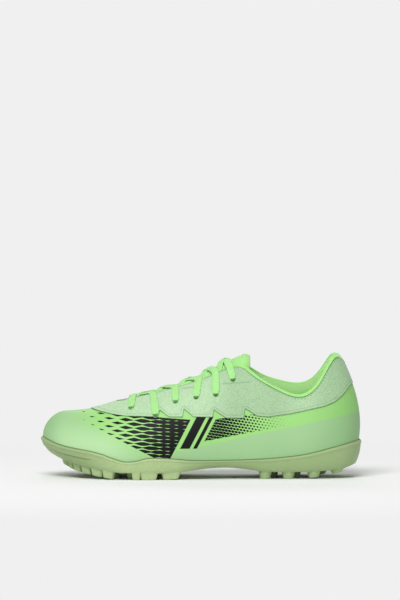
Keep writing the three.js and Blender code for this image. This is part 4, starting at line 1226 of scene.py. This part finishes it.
def make_laces():
    place = {side: [(s, side * (1 - v)) for s, _, v in PLACES[side]] for side in (-1, 1)}
    rng = np.random.default_rng(7)
    strands = []

    def strand(start, turn, end, heights, extend, both):
        point, normal = lace_line(start, turn, end, heights, extend)
        point, normal, extra = dive(point, normal, end)
        ends = [extra]
        if both:
            point, normal, extra = dive(point[::-1], normal[::-1], start)
            ends.append(extra)
        n = len(point)
        at = np.arange(n)
        width = np.full(n, LACE_WIDTH) * (1 + 0.035 * np.sin(np.linspace(0, 9, n) + rng.uniform(0, 6)))
        thick = np.full(n, LACE_THICK)
        # It narrows and thickens where it dives, and doesn't twist there
        dips = [(at - (n - ends[-1] - 4)) / 8.0]
        fixed = [(i, n - ends[-1] - 2) for i in range(n - ends[-1] - 1, n)]
        if both:
            dips.append((ends[0] + 4 - at) / 8.0)
            fixed += [(i, ends[0] + 2) for i in range(ends[0] + 2)]
        for dip in dips:
            width *= 1 - 0.4 * smooth(dip)
            thick *= 1 + 0.25 * smooth(dip)
        strands.append(ribbon(point, normal, width, thick, fixed))

    # Heights over the last in millimetres, each at a share of the way from the start to the throat's
    # edge (True), or from the eyelet back to that edge (False). The front bar is first, then the crossings.
    flat = PANEL_LIFT + LACE_THICK / 2 + 0.1
    turns = {side: [over_edge(side, i) for i in range(len(EYELETS))] for side in (-1, 1)}
    near, far = (np.array(place[side][0]) for side in (-1, 1))
    strand(near, mix(near, far, 0.8), far, [(True, 0.0, flat), (False, 0.0, flat)], 0.0, True)
    for i in range(1, len(EYELETS)):
        for side in (-1, 1):
            over = LACE_THICK + 0.05 if (side < 0) == (i % 2 == 0) else 0.0
            heights = [(True, -0.2, -3.2), (True, 0.0, -2.6), (True, 0.14, -2.0), (True, 0.3, 0.2),
                       (True, 0.5, over), (True, 0.72, 0.2 + 0.3 * over), (True, 0.97, flat + 0.1),
                       (False, 0.9, flat + 0.15), (False, 0.0, flat)]
            strand(turns[-side][i - 1], turns[side][i], place[side][i], heights, 0.12, False)
    mesh = join([(points, faces) for points, faces, _ in strands])
    obj = make("laces", *mesh, [LACE], uv=np.concatenate([uv for *_, uv in strands]))
    obj.data.set_sharp_from_angle(angle=math.radians(60))
    return finish_piece(obj, "lace", "lace")


def stitch_row(points, normals, length, gap, radius):
    """Single stitches along a line, sunk at both ends."""
    gone = np.concatenate([[0], np.cumsum(np.linalg.norm(np.diff(points, axis=0), axis=1))])
    ids = np.arange(36).reshape(6, 6)
    faces = quads(closed(ids)) + [tuple(ids[0][::-1].tolist()), tuple(ids[-1].tolist())]
    share = np.array([0, 0.12, 0.35, 0.65, 0.88, 1.0])
    size = radius * np.array([0.35, 0.85, 1, 1, 0.85, 0.35])[:, None, None]
    sink = radius * np.array([-0.9, -0.1, 0.25, 0.25, -0.1, -0.9])[:, None]
    made = []
    at = gap / 2
    while at + length < gone[-1]:
        t = at + length * share
        centre, normal = (np.stack([np.interp(t, gone, values[:, i]) for i in range(3)], -1)
                          for values in (points, normals))
        normal = unit(normal)
        side = np.cross(normal, unit(centre[-1] - centre[0]))
        tube = size * ring_of(6, side[:, None], 0.8 * normal[:, None])
        made.append((((centre + normal * sink)[:, None] + tube).reshape(-1, 3), faces))
        at += length + gap
    return join(made)


def make_stitches():
    rows = []
    # Along the throat and along the collar, near the panel's upper edge
    for lateral in (True, False):
        for first, last, count, inset, length in ((THROAT_START + 0.05, 9.3, 260, 1.9, STITCH),
                                                  (9.35, LAST, 420, 1.7, COLLAR_STITCH)):
            section = np.linspace(first, last, count)
            u = round_at(section, lateral)
            v = below(u, edge_of(u), inset + np.interp(section, *COLLAR_STRIP))
            line = surface(u, v, dent(u, v) + PANEL_LIFT + 0.02)
            rows.append(stitch_row(line, last_normal(u, v), length, STITCH_GAP, STITCH_RADIUS))
    finish_piece(make("panel_stitches", *join(rows), [THREAD]), "overlay")
    # The tongue's hem
    reach = np.linspace(-11.0, 11.0, 60)
    section = np.full_like(reach, 9.36)
    top = on_crest(section, reach, np.full_like(reach, -2.45))
    normal = unit(on_crest(section, reach, np.full_like(reach, -1.0)) - top)
    hem = stitch_row(top, normal, STITCH, STITCH_GAP, 0.25)
    finish_piece(make("tongue_stitches", *hem, [BRIGHT_THREAD]), "tongue")


def make_eyelets():
    """Pressed rings round the punched holes."""
    around, across = 32, 8
    c = math.tau * np.arange(across)[None, :, None] / across
    parts = []
    for centre, normal, first, second in eyelet_frames():
        out = ring_of(around, first, second)[:, None]
        ring = centre + out * (EYELET_RIM + EYELET_RIM_THICK * np.cos(c)) \
            + normal * (EYELET_RIM_LIFT + 0.3 * np.sin(c))
        ids = np.arange(around * across).reshape(around, across)
        parts.append((ring.reshape(-1, 3), quads(closed(ids)[:, ::-1], True)))
    return finish_piece(make("eyelet_rims", *join(parts), [PANEL_RIM]), "overlay")


def make_stage():
    """A pale floor that runs up into a low wall far all round."""
    around = 72
    profile = [(100, 0), (400, 0), (1200, 0), (14000, 0), (15300, 250), (16300, 1000), (17000, 2300),
               (17300, 5000)]
    middle = np.array([STAGE_X, 0.0, 0.0])
    ring = ring_of(around, np.array([1.0, 0, 0]), np.array([0, 1.0, 0]))
    points = [middle[None]] + [middle + reach * ring + (0.0, 0.0, height) for reach, height in profile]
    ids = 1 + np.arange(len(profile) * around).reshape(len(profile), around).T
    faces = quads(ids[::-1], True) + [(0, 1 + k, 1 + (k + 1) % around) for k in range(around)]
    t = Tree("floor", (PAPER,) * 3, 0.95, Emission_Color=(1, 1, 1, 1), Specular_IOR_Level=0.0)
    # The paper far from the shoe is evenly lit by itself, so that only the shoe's own shadow shows
    along = t.mul(t.sub(t.x, STAGE_X), 0.75)
    even = t.ramp(t.sqrt(t.add(t.mul(along, along), t.mul(t.y, t.y))), 190.0, 520.0)
    t.set("Base Color", t.color(even, (PAPER,) * 3, (0.0, 0.0, 0.0)))
    t.set("Emission Strength", t.mul(even, 0.871))
    t.bump(t.noise(30.0), 0.02, 0.1)
    bmesh_fixed(make("floor", np.concatenate(points), faces, [t.material]))


def add_light(name, place, target, size, power):
    data = bpy.data.lights.new(name, "AREA")
    data.shape = "RECTANGLE"
    data.size, data.size_y = size
    data.energy = power
    lamp = bpy.data.objects.new(name, data)
    lamp.location = place
    lamp.rotation_euler = (Vector(target) - Vector(place)).to_track_quat("-Z", "Y").to_euler()
    lamp.visible_camera = False
    bpy.context.scene.collection.objects.link(lamp)


def make_view():
    scene = bpy.context.scene
    world = bpy.data.worlds.new("studio")
    world.use_nodes = True
    background = world.node_tree.nodes["Background"]
    background.inputs[0].default_value = (1, 1, 1, 1)
    background.inputs[1].default_value = 0.18
    scene.world = world
    middle = (STAGE_X * 0.001, 0.0, 0.04)
    add_light("key", (-0.7, -2.9, 3.4), middle, (2.6, 1.8), 162.0)
    add_light("overhead", (-0.1, 0.2, 3.6), middle, (2.4, 1.8), 20.0)
    add_light("back", (-0.1, 2.8, 2.0), middle, (2.4, 1.2), 24.0)
    scene.view_settings.view_transform = "Standard"
    scene.view_settings.look = "None"
    data = bpy.data.cameras.new("camera")
    camera = bpy.data.objects.new("camera", data)
    scene.collection.objects.link(camera)
    data.sensor_width = SENSOR
    data.lens = SENSOR / PHOTO_HEIGHT / MM_PER_PIXEL * CAMERA_FAR
    data.clip_end = 50
    rise = math.radians(CAMERA_RISE)
    aim = Vector((STAND - (HEEL_COLUMN - PHOTO_WIDTH / 2) * MM_PER_PIXEL, 0.0, CAMERA_AIM))
    back = Vector((0, -math.cos(rise), math.sin(rise)))
    camera.location = (aim + back * CAMERA_FAR) * 0.001
    camera.rotation_euler = (-back).to_track_quat("-Z", "Y").to_euler()
    # The shift brings the ground under the near studs to its row
    ground = GROUND_ROW - (NEAR_STUDS * math.sin(rise) + CAMERA_AIM * math.cos(rise)) / MM_PER_PIXEL
    data.shift_y = (ground - PHOTO_HEIGHT / 2) / PHOTO_HEIGHT
    scene.camera = camera


PANEL_RIM = thread_material("panel_rim", rgb("8fbf88"))
PINS = eyelet_pins()
make_upper()
make_panel()
drop(PINS)
make_tongue()
make_footbed()
make_sole()
make_rim_shadow_line()
make_laces()
make_stitches()
make_eyelets()
make_stage()
make_view()
